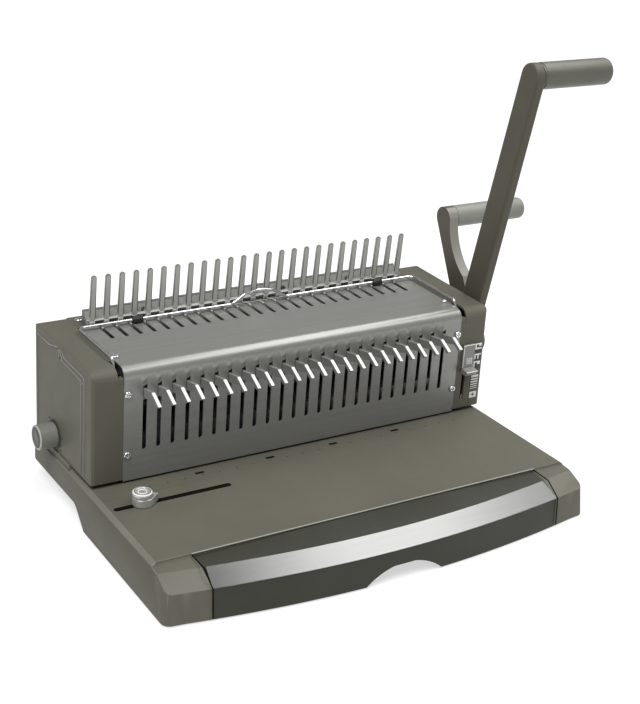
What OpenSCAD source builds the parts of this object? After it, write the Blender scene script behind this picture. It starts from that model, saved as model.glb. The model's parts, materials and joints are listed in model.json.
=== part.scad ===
// Desktop comb binding machine with a long punching lever and a short comb-opening lever.
// Drawing frame: X along the row of comb holes with zero in its middle, Y rearwards from the
// front panel, Z up from the top of the paper tray. The finished part is then moved so that
// its origin lies under the middle of its box, on the surface that it stands on.

/* [Comb row] */
// Distance from one comb hole to the next (plastic combs use 9/16 inch)
comb_pitch = 14.2875; // [13.5:0.0125:15]
// Number of comb holes, punches, front hooks and top hooks
comb_count = 24; // [20:1:26]
// Width of one punched hole along the row
hole_w = 8; // [6:0.1:8.5]
// Depth of one punched hole across the row
hole_d = 3; // [2.5:0.1:3.5]
// Distance from the front panel to the row of punched holes
punch_y = 13; // [12.5:0.1:13.5]

/* [Housing] */
// Cover sheet reach past the last comb hole on each side
side_margin = 20.5; // [19.5:0.1:24]
// Width of each end cap
cap_w = 31; // [26:0.5:40]
// Depth of the housing from front panel to rear face
body_d = 130; // [129:0.5:133]
// Height of the housing above the tray
body_h = 113.4; // [112.9:0.1:115]
// Outside radius of the rounded edge between front and top
corner_r = 10.5; // [8:0.1:10.8]
// Thickness of the metal cover sheet
sheet_t = 1.2; // [0.8:0.1:1.4]
// Wall thickness of the plastic housing parts
wall_t = 2.5; // [2:0.1:3]
// Height of the paper throat under the front panel
throat_h = 8; // [6.5:0.1:8.2]
// Height of the gap under each end cap
cap_lift = 4; // [3.8:0.1:5]
// Rounding of the end caps' outer upright and top edges
cap_edge_r = 3.5; // [3:0.5:5]
// Width of the front and top slots
slot_w = 4.1; // [3.8:0.05:4.4]
// Height of the lower end of the front slots above the tray
front_slot_z = 31; // [28:0.5:36]
// Distance from the upper end of the front slots to the top of the housing
front_slot_drop = 16.6; // [16.2:0.1:18.4]
// Length of the top slots
top_slot_len = 30.5; // [29.6:0.1:36]

/* [Base] */
// Height of the base moulding from its underside to the tray
base_h = 42; // [41:0.5:50]
// Reach of the base past the end caps on each side
base_flare = 2.2; // [1:0.1:5]
// Distance from the front panel to the seam between tray and drawer head
seam_depth = 134.5; // [125:0.5:150]
// Distance from the seam to the foremost point of the drawer head
nose_d = 55; // [50:0.5:65]
// Radius of the bowed front
bow_r = 1110; // [900:10:1500]
// Reach of the base behind the housing
rear_reach = 4; // [4:0.5:16]
// Thickness of the tray deck and the base walls
deck_t = 3; // [2.5:0.1:3.2]
// Height by which the rear half of the base is raised
rear_lift = 15.4; // [12:0.1:16]
// Thickness of the feet under the base
foot_h = 1.5; // [1:0.1:4]
// Thickness of the steel bottom plates
plate_t = 1.2; // [0.8:0.1:1.5]

/* [Chip drawer] */
// Width of the column on each side of the drawer head
column_w = 35.6; // [35:0.1:42]
// Distance that the drawer box reaches behind the front panel
drawer_back = 26; // [24:0.5:28]
// Half width of the arched finger cut-out
arch_half = 40; // [30:0.5:60]
// Height of the arched finger cut-out
arch_h = 15; // [8:0.5:18]

/* [Levers] */
// Distance from the front panel to the lever axis
axis_y = 45.5; // [45.3:0.05:45.7]
// Depth of the lever axis below the top of the housing
axis_drop = 56.4; // [56.2:0.05:56.6]
// Diameter of the bind shaft
bind_shaft_d = 12; // [10:0.1:12.5]
// Outside diameter of the punch tube round the bind shaft
punch_tube_d = 21; // [19:0.1:22]
// Radial clearance of the running fits
run_gap = 0.05; // [0.02:0.01:0.1]
// Length of the long lever from axis to grip
long_len = 299.7; // [240:0.5:340]
// Forward lean of the long lever at rest, in degrees
long_lean = 11.65; // [8:0.1:14]
// Diameter of the long lever's grip
long_grip_d = 26; // [22:0.5:30]
// Length of the long lever's grip
long_grip_len = 85.5; // [65:0.5:95]
// Radius of the long lever's arm round its axis
long_hub_r = 14.5; // [14.5:0.1:18]
// Thickness of each lever arm
arm_t = 11; // [10:0.1:16]
// Gap between the cap and the long lever
lever_gap = 5.2; // [4:0.1:8]
// Gap between the two lever arms
arm_gap = 1; // [0.8:0.1:2]
// Length of the short lever from axis to grip
short_len = 131.3; // [115:0.5:150]
// Backward lean of the short lever at rest, in degrees
short_lean = 29.1; // [26:0.1:32]
// Diameter of the short lever's grip
short_grip_d = 23; // [20:0.5:25]
// Length of the short lever's grip
short_grip_len = 92; // [65:0.5:95]
// Radius of the short lever's arm round its axis
short_hub_r = 17; // [16:0.1:20]
// Radius of the hollow in the short lever's front edge
crescent_r = 66; // [60:1:75]

/* [Punch drive] */
// Offset of each eccentric from the shaft axis
cam_throw = 7; // [6.5:0.1:7.2]
// Diameter of each eccentric
cam_d = 40; // [37:0.1:40.5]
// Working angle of the long lever, in degrees
punch_sweep = 75; // [60:1:76]
// Height of the gap that the paper slides through
die_gap = 4.4; // [4.4:0.05:4.6]

/* [Hook drive] */
// Gear module of the hook drive
gear_m = 2; // [1.99:0.005:2.01]
// Teeth of the full circle that the sector belongs to
sector_teeth = 36; // [36:1:36]
// Teeth of the top pinion
pinion_teeth = 19; // [19:1:19]
// Working angle of the short lever, in degrees
bind_sweep = 72; // [50:1:72]

/* [Fingers and bail] */
// Height of the comb fingers above the housing
finger_h = 52.2; // [40:0.5:60]
// Forward lean of the comb fingers, in degrees
finger_lean = 4.5; // [2:0.1:6]
// Width of a comb finger at its foot
finger_w = 6.3; // [5.5:0.1:7]
// Diameter of the wire bail
bail_d = 3; // [2.5:0.1:3]
// Distance from the bail's rear bar to the comb fingers
bail_back = 6.5; // [6:0.1:7.5]
// Diameter of the rubber sleeves on the bail
sleeve_d = 7.2; // [7.1:0.1:8]

/* [Controls] */
// Diameter of the margin knob
margin_knob_d = 24; // [20:0.5:26]
// Reach of the margin knob from its end cap
margin_knob_len = 18.2; // [14:0.2:24]
// Offset of the margin eccentric
margin_throw = 2.5; // [1.5:0.1:2.5]
// Diameter of the edge guide's clamping knob
guide_knob_d = 18.2; // [15:0.2:20]
// Length of the edge guide's slot
guide_slot_len = 117; // [90:1:119]
// Travel of the comb size selector
selector_travel = 30; // [24:0.5:31]

/* [Hidden] */
$fn = 48;

// Overrun of cuts, clearances between neighbouring pieces
cut = 1;
fit_gap = 0.3;
hair_gap = 0.1;

// Widths across the machine
row_half = comb_pitch * (comb_count - 1) / 2;
cover_half = row_half + side_margin;
body_half = cover_half + cap_w;
base_half = body_half + base_flare;
drawer_half = base_half - column_w;

// Depths and heights
seam_y = -seam_depth;
nose_y = seam_y - nose_d;
rear_y = body_d + rear_reach;
inner_top = body_h - sheet_t;
fingers_back = 30;
finger_y = body_d - fingers_back;
front_slot_top = body_h - front_slot_drop;
axis_z = body_h - axis_drop;

// The drawer head's bowed shape, measured back from its foremost point and down from the tray
lip_back = 2.5;
lip_drop = 14;
ridge_back = 22.4;
ridge_drop = 4.5;
seam_step = 1.2;
nose_wall = 2.5;
trim_t = 1;
bow_half_angle = 13;
bow_facets = 720;

// Frame plates inside the housing
frame_t = 3;
frame_inset = 1.3;
frame_out = cover_half - frame_inset;
frame_in = frame_out - frame_t;
flange_w = 11.5;
flange_t = 2;

// Screws
screw_d = 4;
screw_head_d = 7.2;
screw_head_h = 2.2;
screw_len = 4;
screw_edge = 3.5;
cover_screw_x = cover_half - screw_edge;
front_screw_low = 28.4;
front_screw_drop = 25.3;
front_screw_high = body_h - front_screw_drop;
top_screw_y = 27.5;

// Punch and die
die_t = 3.5;
die_drop = 0.2;
die_front = 3.5;
die_rear = 31.5;
die_side = 7.2;
die_half = row_half + die_side;
punch_gap = 0.1;

// Punch bar and its eccentrics
cam_angle = punch_sweep / 2;
cam_t = 6;
cam_x = 147;
cam_r = cam_d / 2;
cam_y = axis_y - cam_throw * cos(cam_angle);
cam_z = axis_z + cam_throw * sin(cam_angle);
yoke_gap = 0.3;
yoke_wall = 5.4;
bar_y = 9.5;
bar_t = 7;
bar_z = 20;
bar_h = 20;
bar_side = 0.5;
bar_half = die_half - bar_side;
punch_tab_y = 12.5;
punch_tab_h = 9.5;

// Hook carriage, its rack and its hooks
sector_r = gear_m * sector_teeth / 2;
rack_line = axis_y - sector_r;
dedendum = 1.25;
rack_root = rack_line - dedendum * gear_m;
carriage_t = 2.4;
carriage_y = rack_root - carriage_t;
carriage_drop = 35.4;
carriage_z = body_h - carriage_drop;
carriage_h = 17;
gear_t = 5;
gear_side = 2.5;
gear_x = frame_in - gear_side - gear_t;
tooth_gap = 0.3;
hook_travel = sector_r * bind_sweep * PI / 180;
hook_t = 2.5;

// Top carriage, its rack and its hooks
pinion_r = gear_m * pinion_teeth / 2;
pinion_t = 4.5;
gear_space = 2;
pinion_x = gear_x - gear_space - pinion_t;
top_travel = pinion_r * bind_sweep * PI / 180;
top_hook_back = 6;
top_hook_y = finger_y - top_hook_back;
top_bar_reach = 12;
top_bar_y = top_hook_y - top_bar_reach;
top_bar_d = 16;
top_bar_drop = 22.9;
top_bar_z = body_h - top_bar_drop;
top_bar_h = 5.5;
top_hook_d = 4;
top_hook_t = 2;
top_hook_rise = 1.7;
top_hook_nose = 3;

// Levers
tube_r = punch_tube_d / 2;
shaft_r = bind_shaft_d / 2;
long_x = body_half + lever_gap;
short_x = long_x + arm_t + arm_gap;
long_grip_y = axis_y - long_len * sin(long_lean);
long_grip_z = axis_z + long_len * cos(long_lean);
short_grip_y = axis_y + short_len * sin(short_lean);
short_grip_z = axis_z + short_len * cos(short_lean);
stud_r = 5;
stud_sunk = 8;
stud_len = 60;
grip_round = 2.5;
lever_cap_r = 14;
lever_cap_t = 4;

// Bail
bail_r = bail_d / 2;
bail_side = 3.2;
bail_arm_x = cover_half + bail_side;
bail_y = finger_y - bail_back;
bail_bar_z = body_h + sleeve_d / 2 + fit_gap;
bail_bend = 8;
bail_pivot_y = 12;
bail_pivot_drop = 9.4;
bail_pivot_z = body_h - bail_pivot_drop;
bail_knee_y = 20;
hump_x = 4;
hump_half = 13;
hump_rise = 10;
sleeve_len = 10;
bail_notch_w = 5.4;

// Fingers and guard
finger_t = 2.5;
finger_seat = 1.4;
finger_base_y = finger_y + finger_seat;
finger_foot_h = 18.4;
finger_strip = 7.4;
finger_tip_w = finger_w - 1;
window_w = 9;
window_h = 5;
guard_h = 13.3;
guard_y = finger_y + finger_t + fit_gap;
strip_side = 11.7;
strip_half = row_half + strip_side;

// Margin control
margin_back = 46;
margin_y = body_d - margin_back;
margin_z = 18.5;
margin_shaft_r = 4;
margin_cam_r = 7;
margin_gap = 0.25;
margin_plate_t = 3.8;
margin_cam_x = frame_in - fit_gap;
stop_y = 20;
stop_d = 4;
stop_foot = 0.1;

// Edge guide
guide_y = -41;
guide_x = -185;
guide_slot_w = 4.4;
guide_slot_edge = 3.3;
guide_slot_x = -body_half + guide_slot_edge;
guide_foot_r = 9;
guide_foot_h = 8;
guide_tip = 16;
guide_knob_h = 5;
guide_screw_r = 2;
guide_nut_side = 12;
guide_nut_h = 4;

// Comb size selector
selector_side = 5.6;
selector_x = cover_half + selector_side;
selector_w = 14;
selector_block_z = 42.5;
selector_block_h = 7.5;
selector_block_d = 11;
selector_plate_h = 25;
selector_plate_t = 2.2;
selector_stem_w = 3;
selector_stem_h = 6;
panel_t = 0.8;

// Chip drawer
drawer_gap = 0.9;
drawer_side = drawer_half - drawer_gap;
drawer_wall = 2;
drawer_floor = base_h - plate_t - fit_gap;
drawer_top = 8;

// Box of the whole part, for its origin
box_left = body_half + margin_knob_len;
box_right = short_x + arm_t + short_grip_len;
x_mid = (box_right - box_left) / 2;
box_front = nose_y + bow_r - sqrt(bow_r * bow_r - arch_half * arch_half);
y_mid = (rear_y + box_front) / 2;
floor_z = base_h + foot_h;

function comb_x(i) = (i - (comb_count - 1) / 2) * comb_pitch;
function finger_x(i) = (i - comb_count / 2) * comb_pitch;

// Moves the drawing frame to the finished part's frame
module placed() translate([-x_mid, -y_mid, floor_z]) children();

// A flat outline in Y and Z, drawn out along X
module along_x(x0, x1) translate([x0, 0, 0]) rotate([90, 0, 90]) linear_extrude(x1 - x0) children();

// A flat outline in X and Z, drawn out along Y
module along_y(y0, y1) translate([0, y1, 0]) rotate([90, 0, 0]) linear_extrude(y1 - y0) children();

// A round bar along X, Y or Z from its start
module rod_x(x0, x1, y, z, r) translate([x0, y, z]) rotate([0, 90, 0]) cylinder(h = x1 - x0, r = r);
module rod_y(y0, y1, x, z, r) translate([x, y1, z]) rotate([90, 0, 0]) cylinder(h = y1 - y0, r = r);
module rod_z(z0, z1, x, y, r) translate([x, y, z0]) cylinder(h = z1 - z0, r = r);

// A block from its lowest to its highest corner
module block(a, b) translate(a) cube(b - a);

module both_sides() {
  children();
  mirror([1, 0, 0]) children();
}

// Side view of the housing's front and top, set in from the surface and cut off low and at the rear
module housing_side(inset, low, rear) {
  corner = corner_r;
  translate([inset, low]) square([rear - inset, body_h - corner - low]);
  translate([corner, body_h - corner]) square([rear - corner, corner - inset]);
  translate([corner, body_h - corner]) circle(r = corner - inset);
}

// A slot with round ends, upright in the front panel
module front_slot(x, low, high, depth) {
  r = slot_w / 2;
  block([x - r, -cut, low + r], [x + r, depth, high - r]);
  rod_y(-cut, depth, x, low + r, r);
  rod_y(-cut, depth, x, high - r, r);
}

// Tooth outline of an involute gear about its own centre
function involute(base, t) = [
  base * (cos(t) + t * PI / 180 * sin(t)),
  base * (sin(t) - t * PI / 180 * cos(t))
];
function turned(p, a) = [p[0] * cos(a) - p[1] * sin(a), p[0] * sin(a) + p[1] * cos(a)];
function flipped(p) = [p[0], -p[1]];
pressure_angle = 20;
flank_steps = 5;
root_share = 0.62;

module gear_outline(teeth) {
  pitch = gear_m * teeth / 2;
  base = pitch * cos(pressure_angle);
  tip = pitch + gear_m;
  root = pitch - dedendum * gear_m;
  t_tip = sqrt(tip * tip / (base * base) - 1) * 180 / PI;
  t_start = root > base ? sqrt(root * root / (base * base) - 1) * 180 / PI : 0;
  half_thick = 90 / teeth - tooth_gap / 2 / pitch * 180 / PI;
  lead = tan(pressure_angle) * 180 / PI - pressure_angle;
  shift = half_thick + lead;
  low = min(root, base);
  flank = [
    for (k = [0:flank_steps])
      turned(involute(base, t_start + (t_tip - t_start) * k / flank_steps), -shift)
  ];
  last = flank_steps;
  points = [
    for (n = [0:teeth - 1])
      let (a = n * 360 / teeth)
        each concat(
          [turned([low, 0], a - 180 / teeth * root_share)],
          [for (k = [0:last]) turned(flank[k], a)],
          [for (k = [0:last]) turned(flipped(flank[last - k]), a)],
          [turned([low, 0], a + 180 / teeth * root_share)]
        )
  ];
  polygon(points);
}

// Straight rack teeth along the first axis, pointing to the positive second axis
module rack_teeth(count) {
  step = gear_m * PI;
  add = gear_m;
  ded = dedendum * gear_m;
  half = step / 4 - tooth_gap / 2;
  slope = tan(pressure_angle);
  for (n = [0:count - 1])
    translate([n * step, 0])
      polygon([
        [-half - ded * slope, -ded - hair_gap],
        [-half + add * slope, add],
        [half - add * slope, add],
        [half + ded * slope, -ded - hair_gap]
      ]);
}

// The bowed drawer head's outline: distance from the bow's centre, height
module nose_outline(inset) {
  front = bow_r - inset;
  lean = lip_back / (base_h - lip_drop);
  polygon([
    [bow_r - nose_d - cut, -base_h + inset - cut],
    [front + lean * cut, -base_h + inset - cut],
    [front - lip_back, -lip_drop - inset / 2],
    [front - ridge_back + inset / 2, -ridge_drop - inset],
    [bow_r - nose_d - cut, -seam_step - inset]
  ]);
}

module bowed(half_angle) {
  translate([0, nose_y + bow_r, 0])
    rotate([0, 0, -90 - half_angle])
      rotate_extrude(angle = 2 * half_angle, $fn = bow_facets) children();
}

module nose_solid(inset) {
  intersection() {
    bowed(bow_half_angle) nose_outline(inset);
    block([-base_half, nose_y - cut, -base_h + inset], [base_half, seam_y, cut]);
  }
}

// Side view of the base behind the seam
step_front = 3;
step_run = 28;
rear_round = 9;
base_chamfer_w = 4;
base_chamfer_h = 3;

module base_side(inset) {
  low = -base_h + inset;
  high = -base_h + rear_lift + inset;
  front = step_front - inset;
  polygon([
    [seam_y - cut, 0 - inset],
    [rear_y - inset, 0 - inset],
    [rear_y - inset, high + rear_round - inset],
    [rear_y - rear_round * 0.3 - inset, high + rear_round * 0.3],
    [rear_y - rear_round, high],
    [front + step_run, high],
    [front + step_run * 0.8, high - rear_lift * 0.14],
    [front + step_run * 0.12, low + rear_lift * 0.14],
    [front, low],
    [seam_y - cut, low]
  ]);
}

module base_body() {
  intersection() {
    along_x(-base_half, base_half) base_side(0);
    along_y(seam_y, rear_y + cut)
      polygon([
        [-base_half, -base_h - cut],
        [-base_half, -base_chamfer_h],
        [-base_half + base_chamfer_w, 0],
        [base_half - base_chamfer_w, 0],
        [base_half, -base_chamfer_h],
        [base_half, -base_h - cut]
      ]);
  }
}

// Plan of the base behind the seam, with rounded rear corners
base_corner_r = 8;
module base_plan() {
  square_d = rear_y - base_corner_r - seam_y;
  translate([-base_half, seam_y]) square([2 * base_half, square_d]);
  translate([-base_half + base_corner_r, seam_y])
    square([2 * (base_half - base_corner_r), rear_y - seam_y]);
  for (s = [-1, 1])
    translate([s * (base_half - base_corner_r), rear_y - base_corner_r]) circle(r = base_corner_r);
}

// Raised plinth under the end caps, the drawer's bay and tub, and the screws of the bottom plates
plinth_y = 46;
plinth_edge = 1;
bay_gap = 1.6;
bay_half = drawer_half + bay_gap;
bay_room = 4;
bay_back = drawer_back + bay_room;
tub_half = bay_half + deck_t;
tub_back = bay_back + deck_t;
pod_reach = 30;
pod_front = nose_y + pod_reach;
pod_roof = -deck_t - base_chamfer_h;
rear_floor = -base_h + rear_lift;
hollow_rear = rear_y - rear_round;
screw_boss_r = 5;
screw_depth = 9;
low_head_h = 1.2;
front_screw_ys = [-115, -75];
rear_screw_ys = [60, 112];
front_screw_edge = 18;
front_screw_x = base_half - front_screw_edge;
rear_screw_edge = 28;
rear_screw_x = base_half - rear_screw_edge;
base_screw_places = [
  for (s = [-1, 1], y = front_screw_ys) [s * front_screw_x, y, -base_h],
  for (s = [-1, 1], y = rear_screw_ys) [s * rear_screw_x, y, rear_floor]
];

module base_outside() {
  intersection() {
    base_body();
    translate([0, 0, -base_h - cut]) linear_extrude(base_h + 2 * cut) base_plan();
  }
  // Columns beside the drawer head
  both_sides()
    intersection() {
      nose_solid(0);
      block([drawer_half + 2 * fit_gap, nose_y - cut, -base_h - cut], [base_half, seam_y + cut, cut]);
    }
  both_sides()
    block([cover_half, plinth_y, -deck_t], [base_half - plinth_edge, rear_y - plinth_edge, cap_lift]);
  block([-tub_half, step_front - cut, -base_h], [tub_half, tub_back, -deck_t]);
}

module base_hollows() {
  // Drawer bay, open at the front and underneath
  block([-bay_half, seam_y - cut, -base_h - cut], [bay_half, bay_back, -deck_t]);
  // Side pods, open underneath
  both_sides() {
    block([tub_half, seam_y + deck_t, -base_h - cut],
          [base_half - deck_t, step_front - deck_t, pod_roof]);
    block([tub_half, pod_front, -base_h - cut],
          [base_half - deck_t, seam_y + deck_t + cut, -lip_drop - deck_t]);
  }
  // Seat of the front bottom plate
  block([-base_half + deck_t, seam_y + deck_t, -base_h - cut],
        [base_half - deck_t, step_front - deck_t, -base_h + plate_t]);
  // Rear hollow, open underneath
  block([-base_half + deck_t, tub_back + deck_t, -base_h - cut],
        [base_half - deck_t, hollow_rear, pod_roof]);
  // Opening for the die
  block([-die_half - fit_gap, die_front - fit_gap, -deck_t - cut],
        [die_half + fit_gap, die_rear + fit_gap, cut]);
  // Slot of the edge guide
  slot_end = guide_slot_w / 2;
  block([guide_slot_x + slot_end, guide_y - slot_end, pod_roof - cut],
        [guide_slot_x + guide_slot_len - slot_end, guide_y + slot_end, cut]);
  for (x = [slot_end, guide_slot_len - slot_end])
    rod_z(pod_roof - cut, cut, guide_slot_x + x, guide_y, slot_end);
  // Way for the edge guide's nut through the bay wall
  block([-base_half + deck_t, guide_y - guide_nut_side, -deck_t - guide_nut_h - cut],
        [-bay_half + cut, guide_y + guide_nut_side, -deck_t]);
}

module base_shell() color([0.36, 0.35, 0.30]) placed() {
  difference() {
    union() {
      difference() {
        base_outside();
        base_hollows();
      }
      for (p = base_screw_places) rod_z(p[2] + plate_t, pod_roof + cut, p[0], p[1], screw_boss_r);
    }
    for (p = base_screw_places)
      rod_z(p[2], p[2] + plate_t + screw_depth + fit_gap, p[0], p[1], screw_d / 2 + hair_gap);
  }
}

module front_bottom_plate() color([0.50, 0.50, 0.51]) placed() {
  low = -base_h;
  high = -base_h + plate_t;
  plate_half = base_half - deck_t - fit_gap;
  plate_front = seam_y + deck_t + fit_gap;
  plate_rear = step_front - deck_t - fit_gap;
  difference() {
    union() {
      block([-plate_half, plate_front, low], [plate_half, plate_rear, high]);
      block([-bay_half + fit_gap, plate_rear - cut, low], [bay_half - fit_gap, bay_back - fit_gap, high]);
      both_sides() block([tub_half + fit_gap, pod_front + fit_gap, low], [plate_half, plate_front + cut, high]);
    }
    for (p = base_screw_places) rod_z(low - cut, high + cut, p[0], p[1], screw_d / 2 + hair_gap);
  }
}

module rear_bottom_plate() color([0.50, 0.50, 0.51]) placed() {
  plate_half = base_half - deck_t - fit_gap;
  difference() {
    block([-plate_half, tub_back + deck_t + fit_gap, rear_floor],
          [plate_half, hollow_rear - fit_gap, rear_floor + plate_t]);
    for (p = base_screw_places) rod_z(-base_h, cut, p[0], p[1], screw_d / 2 + hair_gap);
  }
}

// Low-headed screws, the head below the plate
module base_screws() color([0.30, 0.30, 0.31]) placed() {
  for (p = base_screw_places) {
    rod_z(p[2], p[2] + plate_t + screw_depth, p[0], p[1], screw_d / 2);
    rod_z(p[2] - low_head_h, p[2], p[0], p[1], screw_head_d / 2);
  }
}

pad_r = 8;
front_pad_ys = [-148, -12];
leg_r = 11;
leg_x = 165;
leg_y = 105;

module front_feet() color([0.08, 0.08, 0.08]) placed() {
  for (s = [-1, 1], y = front_pad_ys) rod_z(-floor_z, -base_h, s * front_screw_x, y, pad_r);
}

module rear_legs() color([0.30, 0.29, 0.25]) placed() {
  both_sides() rod_z(-base_h, rear_floor, leg_x, leg_y, leg_r);
}

module rear_pads() color([0.08, 0.08, 0.08]) placed() {
  both_sides() rod_z(-floor_z, -base_h, leg_x, leg_y, leg_r - fit_gap);
}

// End caps: one side profile, with the outer edges rounded
cap_rear_r = 3;
cap_notch_y = 22;
cap_notch_drop = 15.4;
cap_notch_z = body_h - cap_notch_drop;
panel_depth = 0.8;
panel_shares = [
  [0.17, 0], [0.177, 0.855], [0.5, 0.873], [0.562, 0.961], [0.75, 0.917], [0.952, 0.926], [0.952, 0]
];

module cap_side(inset, low) {
  difference() {
    housing_side(inset, low, body_d - inset);
    translate([body_d - cap_rear_r, body_h - cap_rear_r])
      difference() {
        square(cap_rear_r + cut);
        circle(r = cap_rear_r - inset);
      }
  }
}

// Front view of a cap from its inner face, with the outer top edge rounded
module cap_face(inset, inner, low) {
  edge = cap_edge_r;
  translate([inner, low]) square([body_half - inset - inner, body_h - edge - low]);
  translate([inner, low]) square([body_half - edge - inner, body_h - inset - low]);
  translate([body_half - edge, body_h - edge]) circle(r = edge - inset);
}

// Plan of a cap, with both outer upright edges rounded
module cap_plan(inset, inner) {
  edge = cap_edge_r;
  translate([inner, edge]) square([body_half - inset - inner, body_d - 2 * edge]);
  translate([inner, inset]) square([body_half - edge - inner, body_d - 2 * inset]);
  for (y = [edge, body_d - edge]) translate([body_half - edge, y]) circle(r = edge - inset);
}

module cap_solid(inset, inner, low) {
  intersection() {
    along_x(inner, body_half) cap_side(inset, low);
    along_y(-cut, body_d + cut) cap_face(inset, inner, low);
    translate([0, 0, low]) linear_extrude(body_h) cap_plan(inset, inner);
  }
}

module cap_shell() {
  difference() {
    cap_solid(0, cover_half, cap_lift);
    cap_solid(wall_t, cover_half - cut, cap_lift - cut);
    // Notch for the bail's arm
    block([cover_half - cut, -cut, cap_notch_z],
          [bail_arm_x + bail_notch_w / 2, cap_notch_y, body_h + cut]);
    // Shallow panel in the side
    along_x(body_half - panel_depth, body_half + cut)
      polygon([for (p = panel_shares) [p[0] * body_d, cap_lift + cut + p[1] * (body_h - cap_lift - cut)]]);
  }
}

module left_end_cap() color([0.36, 0.35, 0.30]) placed() {
  difference() {
    mirror([1, 0, 0]) cap_shell();
    rod_x(-body_half - cut, -cover_half, margin_y, margin_z, margin_shaft_r + fit_gap);
  }
}

boss_r = 17;
slot_high = 50;
slot_low = slot_high - selector_travel - selector_stem_h - 2 * fit_gap;
selector_slot_x = selector_x + selector_stem_w;

module right_end_cap() color([0.36, 0.35, 0.30]) placed() {
  difference() {
    union() {
      cap_shell();
      rod_x(body_half - wall_t, long_x - fit_gap, axis_y, axis_z, boss_r);
    }
    rod_x(cover_half, long_x + cut, axis_y, axis_z, tube_r + fit_gap);
    block([selector_slot_x - fit_gap, -cut, slot_low],
          [selector_slot_x + selector_stem_w + fit_gap, wall_t + cut, slot_high]);
  }
}

// Rear wall and top strip of the housing, with ribs that carry the guard
strip_step = 3;
strip_front = finger_y + strip_step;
rib_w = 8;
guard_lean_d = 10;
guard_sheet_t = 1.2;
rib_low = body_h - wall_t / 2;
guard_screw_shares = [-0.654, -0.218, 0.218, 0.654];

module rear_housing() color([0.36, 0.35, 0.30]) placed() {
  half = cover_half - hair_gap;
  difference() {
    union() {
      block([-half, body_d - wall_t, 0], [half, body_d, body_h]);
      block([-half, strip_front, body_h - wall_t], [half, body_d, body_h]);
      for (s = guard_screw_shares)
        along_x(s * strip_half - rib_w / 2, s * strip_half + rib_w / 2)
          polygon([
            [guard_y + guard_sheet_t, rib_low],
            [guard_y + guard_sheet_t, body_h],
            [guard_y + guard_sheet_t + guard_lean_d, body_h + guard_h],
            [guard_y + guard_sheet_t + guard_lean_d, rib_low]
          ]);
    }
    both_sides()
      rod_z(body_h - wall_t - cut, body_h + cut, rear_screw_side, rear_top_y, screw_d / 2 + hair_gap);
    for (s = guard_screw_shares) guard_screw(s * strip_half, hair_gap);
  }
}

// The leaning guard sheet behind the fingers
module rear_guard() color([0.72, 0.73, 0.72]) placed() {
  difference() {
    union() {
      along_x(-strip_half, strip_half)
        polygon([
          [guard_y, body_h],
          [guard_y + guard_sheet_t, body_h],
          [guard_y + guard_sheet_t + guard_lean_d, body_h + guard_h],
          [guard_y + guard_lean_d, body_h + guard_h]
        ]);
      both_sides()
        along_x(strip_half - guard_sheet_t, strip_half)
          polygon([
            [guard_y, body_h],
            [guard_y + guard_sheet_t + guard_lean_d, body_h + guard_h],
            [guard_y + guard_sheet_t + guard_lean_d, body_h]
          ]);
    }
    for (s = guard_screw_shares) guard_screw(s * strip_half, hair_gap);
  }
}

// A small screw square to the guard sheet
small_screw_d = 3;
small_head_d = 5.4;
small_head_h = 1.4;
guard_screw_len = 4.5;
guard_angle = atan2(guard_lean_d, guard_h);

module guard_screw(x, gap) {
  translate([x, guard_y + guard_lean_d / 2, body_h + guard_h / 2])
    rotate([-90 - guard_angle, 0, 0]) cylinder(h = guard_screw_len + gap, r = small_screw_d / 2 + gap);
}

module guard_screws() color([0.55, 0.56, 0.57]) placed() {
  for (s = guard_screw_shares) {
    guard_screw(s * strip_half, 0);
    translate([s * strip_half, guard_y + guard_lean_d / 2, body_h + guard_h / 2])
      rotate([90 - guard_angle, 0, 0]) cylinder(h = small_head_h, r = small_head_d / 2);
  }
}

rear_screw_back = 11.2;
rear_top_y = body_d - rear_screw_back;
top_screw_edge = 7.8;
rear_screw_side = cover_half - top_screw_edge;
cover_gap = 0.5;
cover_rear = finger_y - cover_gap;
top_slot_end = top_hook_y + top_hook_d + 2 * fit_gap;
top_slot_y = top_slot_end - top_slot_len;

module cover_sheet() color([0.55, 0.56, 0.56]) placed() {
  r = slot_w / 2;
  difference() {
    along_x(-cover_half, cover_half)
      difference() {
        housing_side(0, throat_h, cover_rear);
        housing_side(sheet_t, throat_h - cut, cover_rear + cut);
      }
    for (i = [0:comb_count - 1]) {
      front_slot(comb_x(i), front_slot_z, front_slot_top, sheet_t + cut);
      block([comb_x(i) - r, top_slot_y + r, inner_top - cut], [comb_x(i) + r, top_slot_end, body_h + cut]);
      rod_z(inner_top - cut, body_h + cut, comb_x(i), top_slot_y + r, r);
    }
    both_sides() {
      for (z = [front_screw_low, front_screw_high])
        rod_y(-cut, sheet_t + cut, cover_screw_x, z, screw_d / 2 + hair_gap);
      rod_z(inner_top - cut, body_h + cut, cover_screw_x, top_screw_y, screw_d / 2 + hair_gap);
    }
  }
}

module cover_screws() color([0.80, 0.81, 0.82]) placed() {
  both_sides() {
    for (z = [front_screw_low, front_screw_high]) {
      rod_y(0, screw_len, cover_screw_x, z, screw_d / 2);
      rod_y(-screw_head_h, 0, cover_screw_x, z, screw_head_d / 2);
    }
    for (p = [[cover_screw_x, top_screw_y], [rear_screw_side, rear_top_y]]) {
      rod_z(body_h - screw_len, body_h, p[0], p[1], screw_d / 2);
      rod_z(body_h, body_h + screw_head_h, p[0], p[1], screw_head_d / 2);
    }
  }
}

// Comb fingers: one leaning plate with a window at each hole and a finger between the holes
foot_top = -frame_inset - flange_t - fit_gap;
foot_half = frame_out - flange_w - fit_gap;
strip_low = -frame_inset + fit_gap;

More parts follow.
